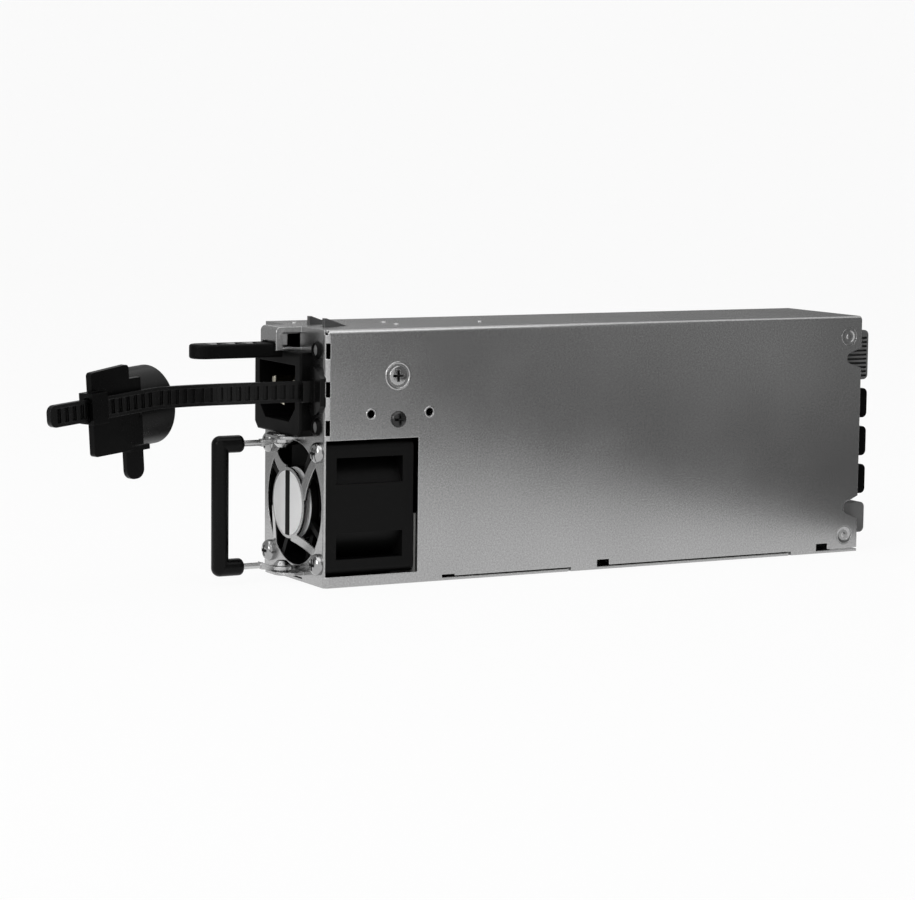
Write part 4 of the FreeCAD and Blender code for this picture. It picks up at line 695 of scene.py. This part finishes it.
# ---------------------------------------------------------------- stage
class SUPPLY_OT_stage(bpy.types.Operator):
    """Make the floor, the lights and the camera"""
    bl_idname = "supply.stage"
    bl_label = "Stage"

    def execute(self, context):
        stage = context.scene.supply_stage
        self.make_camera(context, stage)
        self.make_floor(stage)
        self.make_cards(stage)
        self.make_world(context, stage)
        self.make_lamps(context, stage)
        context.scene.view_settings.view_transform = "Standard"
        return {"FINISHED"}

    def make_camera(self, context, stage):
        """Camera that stands at its spot, turned by yaw, pitch and roll."""
        sy, cy = math.sin(stage.yaw), math.cos(stage.yaw)
        sp, cp = math.sin(stage.pitch), math.cos(stage.pitch)
        sr, cr = math.sin(stage.roll), math.cos(stage.roll)
        ahead = Vector((-sy * cp, cy * cp, -sp))
        right = Vector((cy, sy, 0.0))
        up = right.cross(ahead)
        turn = Matrix((cr * right + sr * up, cr * up - sr * right, -ahead)).transposed().to_4x4()
        data = bpy.data.cameras.new("camera")
        data.lens = stage.lens
        data.sensor_width = SENSOR_WIDTH
        data.sensor_fit = "HORIZONTAL"
        data.clip_start = 10.0 * MM
        camera = bpy.data.objects.new("camera", data)
        camera.matrix_world = Matrix.Translation(stage.spot) @ turn
        context.scene.collection.objects.link(camera)
        context.scene.camera = camera

    def make_floor(self, stage):
        """Round white paper sweep to stand on."""
        flat, bend = stage.sweep_radius - stage.sweep_bend, stage.sweep_bend
        bend_steps, round_steps, drop = 12, 96, 0.2 * MM
        profile = [(0.0, 0.0), (flat / 2.0, 0.0)]
        for k in range(bend_steps + 1):
            turn = math.radians(90.0 / bend_steps * k)
            profile.append((flat + bend * math.sin(turn), bend * (1.0 - math.cos(turn))))
        profile.append((flat + bend, stage.sweep_height))
        bm = bmesh.new()
        lathe(bm, profile, round_steps)
        bmesh.ops.translate(bm, verts=bm.verts, vec=(0, 0, -drop))
        to_object("floor", bm, self.paper(stage))

    def paper(self, stage):
        """Matt paper that mostly keeps its own white, and takes a soft shadow with the rest."""
        material, tree = new_material("white paper sweep")
        shader = add(tree, "ShaderNodeBsdfPrincipled", {
            "Base Color": hex_colour("#f2f2f2"), "Roughness": 0.9, "Specular IOR Level": 0.1})
        glow = add(tree, "ShaderNodeEmission", {"Color": WHITE, "Strength": stage.backdrop})
        share = add(tree, "ShaderNodeMath", {
            0: self.seen_rays(tree), 1: stage.paper_glow}, operation="MULTIPLY")
        mix = add(tree, "ShaderNodeMixShader", {
            "Fac": share.outputs["Value"], 1: shader.outputs["BSDF"], 2: glow.outputs["Emission"]})
        add(tree, "ShaderNodeOutputMaterial", {"Surface": mix.outputs["Shader"]})
        return material

    def make_cards(self, stage):
        """Three grey cards that the steel mirrors."""
        side, tree = new_material("side card")
        self.add_glow(tree, self.lifted_glow(tree, stage))
        self.stand_card(side, stage.side_card, stage.card_height)
        rear, tree = new_material("rear card")
        self.add_glow(tree, stage.rear_card_glow)
        self.stand_card(rear, stage.rear_card, stage.card_height, stage.rear_card_foot)
        front, tree = new_material("front card")
        self.add_glow(tree, stage.front_card_glow)
        self.stand_card(front, stage.front_card, stage.card_height)

    def add_glow(self, tree, strength):
        """Face of a card: it only glows, by a number or a socket."""
        shader = add(tree, "ShaderNodeBsdfPrincipled", {
            "Base Color": BLACK, "Specular IOR Level": 0.0, "Emission Color": WHITE,
            "Emission Strength": strength})
        add(tree, "ShaderNodeOutputMaterial", {"Surface": shader.outputs["BSDF"]})

    def stand_card(self, material, ends, height, foot=0.0):
        """Upright card that only mirrored rays meet, from one X, Y spot to another."""
        x0, y0, x1, y1 = ends
        bm = bmesh.new()
        ring = [(x0, y0, foot), (x1, y1, foot), (x1, y1, height), (x0, y0, height)]
        bm.faces.new([bm.verts.new(spot) for spot in ring])
        card = to_object(material.name, bm, material)
        card.visible_camera = False
        card.visible_diffuse = False
        card.visible_shadow = False
        card.visible_transmission = False

    def lifted_glow(self, tree, stage):
        """Socket with the side card's glow, which rises with height and fades towards both ends."""
        place = add(tree, "ShaderNodeTexCoord").outputs["Object"]
        parts = add(tree, "ShaderNodeSeparateXYZ", {"Vector": place})
        inner_x, far_x = stage.side_card[0], stage.side_card[2]
        up = add(tree, "ShaderNodeMapRange", {
            "Value": parts.outputs["Z"], "From Min": stage.glow_rise_low,
            "From Max": stage.glow_rise_high, "To Min": 0.0, "To Max": stage.glow_rise},
            interpolation_type="SMOOTHSTEP")
        out = add(tree, "ShaderNodeMapRange", {
            "Value": parts.outputs["X"], "From Min": inner_x, "From Max": stage.glow_rise_out,
            "To Min": stage.glow_rise_end, "To Max": 1.0}, interpolation_type="SMOOTHSTEP")
        extra = add(tree, "ShaderNodeMath", {
            0: up.outputs["Result"], 1: out.outputs["Result"]}, operation="MULTIPLY")
        total = add(tree, "ShaderNodeMath", {0: extra.outputs["Value"], 1: stage.side_card_glow})
        fade = add(tree, "ShaderNodeMapRange", {
            "Value": parts.outputs["X"], "From Min": stage.glow_rise_out, "From Max": far_x,
            "To Min": 1.0, "To Max": stage.glow_far_end})
        faded = add(tree, "ShaderNodeMath", {
            0: total.outputs["Value"], 1: fade.outputs["Result"]}, operation="MULTIPLY")
        return faded.outputs["Value"]

    def seen_rays(self, tree):
        """Socket that is 1 on rays that show the background: from the camera, a mirror or through glass."""
        rays = add(tree, "ShaderNodeLightPath")
        total = rays.outputs["Is Camera Ray"]
        for kind in ("Is Glossy Ray", "Is Transmission Ray"):
            either = add(tree, "ShaderNodeMath", {0: total, 1: rays.outputs[kind]}, operation="MAXIMUM")
            total = either.outputs["Value"]
        return total

    def make_world(self, context, stage):
        """White background, and a dimmer soft light from all round."""
        world = bpy.data.worlds.new("studio")
        world.use_nodes = True
        tree = world.node_tree
        tree.nodes.clear()
        room = add(tree, "ShaderNodeBackground", {"Color": WHITE, "Strength": stage.fill})
        white = add(tree, "ShaderNodeBackground", {"Color": WHITE, "Strength": stage.backdrop})
        mix = add(tree, "ShaderNodeMixShader", {
            "Fac": self.seen_rays(tree), 1: room.outputs["Background"], 2: white.outputs["Background"]})
        add(tree, "ShaderNodeOutputWorld", {"Surface": mix.outputs["Shader"]})
        context.scene.world = world

    def make_lamps(self, context, stage):
        """Large soft light overhead, and a smaller one in front of the fan grille."""
        middle = Vector((0.0, 0.0, 0.03))       # what the lamps point at, inside the module
        front_share = 0.6
        lamps = (       # name, place and side in metres, power
            ("overhead softbox", (0.25, -0.15, 1.1), 1.5, stage.key),
            ("front fill", (0.35, -1.0, 0.45), 0.5, stage.key * front_share),
        )
        for name, spot, side, power in lamps:
            data = bpy.data.lights.new(name, "AREA")
            data.shape = "SQUARE"
            data.size = side
            data.energy = power
            lamp = bpy.data.objects.new(name, data)
            lamp.location = spot
            lamp.rotation_euler = (Vector(spot) - middle).to_track_quat("Z", "Y").to_euler()
            context.scene.collection.objects.link(lamp)


# ---------------------------------------------------------------- panel and registration
STEPS = (SUPPLY_OT_finishes, SUPPLY_OT_fasteners, SUPPLY_OT_tab_scoops, SUPPLY_OT_stage)
GROUPS = (
    ("supply_finishes", SupplyFinishes), ("supply_fasteners", SupplyFasteners), ("supply_tab", SupplyTab),
    ("supply_stage", SupplyStage),
)


class SUPPLY_PT_panel(bpy.types.Panel):
    """Lists the settings and the steps that dress the power supply"""
    bl_idname = "SUPPLY_PT_panel"
    bl_label = "Power Supply"
    bl_space_type = "VIEW_3D"
    bl_region_type = "UI"
    bl_category = "Power Supply"

    def draw(self, context):
        for attribute, group in GROUPS:
            box = self.layout.box()
            for name in group.__annotations__:
                box.prop(getattr(context.scene, attribute), name)
        for step in STEPS:
            self.layout.operator(step.bl_idname)


def register():
    """Register the settings, the steps and the panel."""
    for attribute, group in GROUPS:
        bpy.utils.register_class(group)
        setattr(bpy.types.Scene, attribute, PointerProperty(type=group))
    for step in STEPS:
        bpy.utils.register_class(step)
    bpy.utils.register_class(SUPPLY_PT_panel)


def unregister():
    """Undo register()."""
    bpy.utils.unregister_class(SUPPLY_PT_panel)
    for step in reversed(STEPS):
        bpy.utils.unregister_class(step)
    for attribute, group in reversed(GROUPS):
        delattr(bpy.types.Scene, attribute)
        bpy.utils.unregister_class(group)


def main():
    """Run every step in order."""
    register()
    bpy.ops.supply.finishes()
    bpy.ops.supply.fasteners()
    bpy.ops.supply.tab_scoops()
    bpy.ops.supply.stage()


if __name__ == "__main__":
    main()
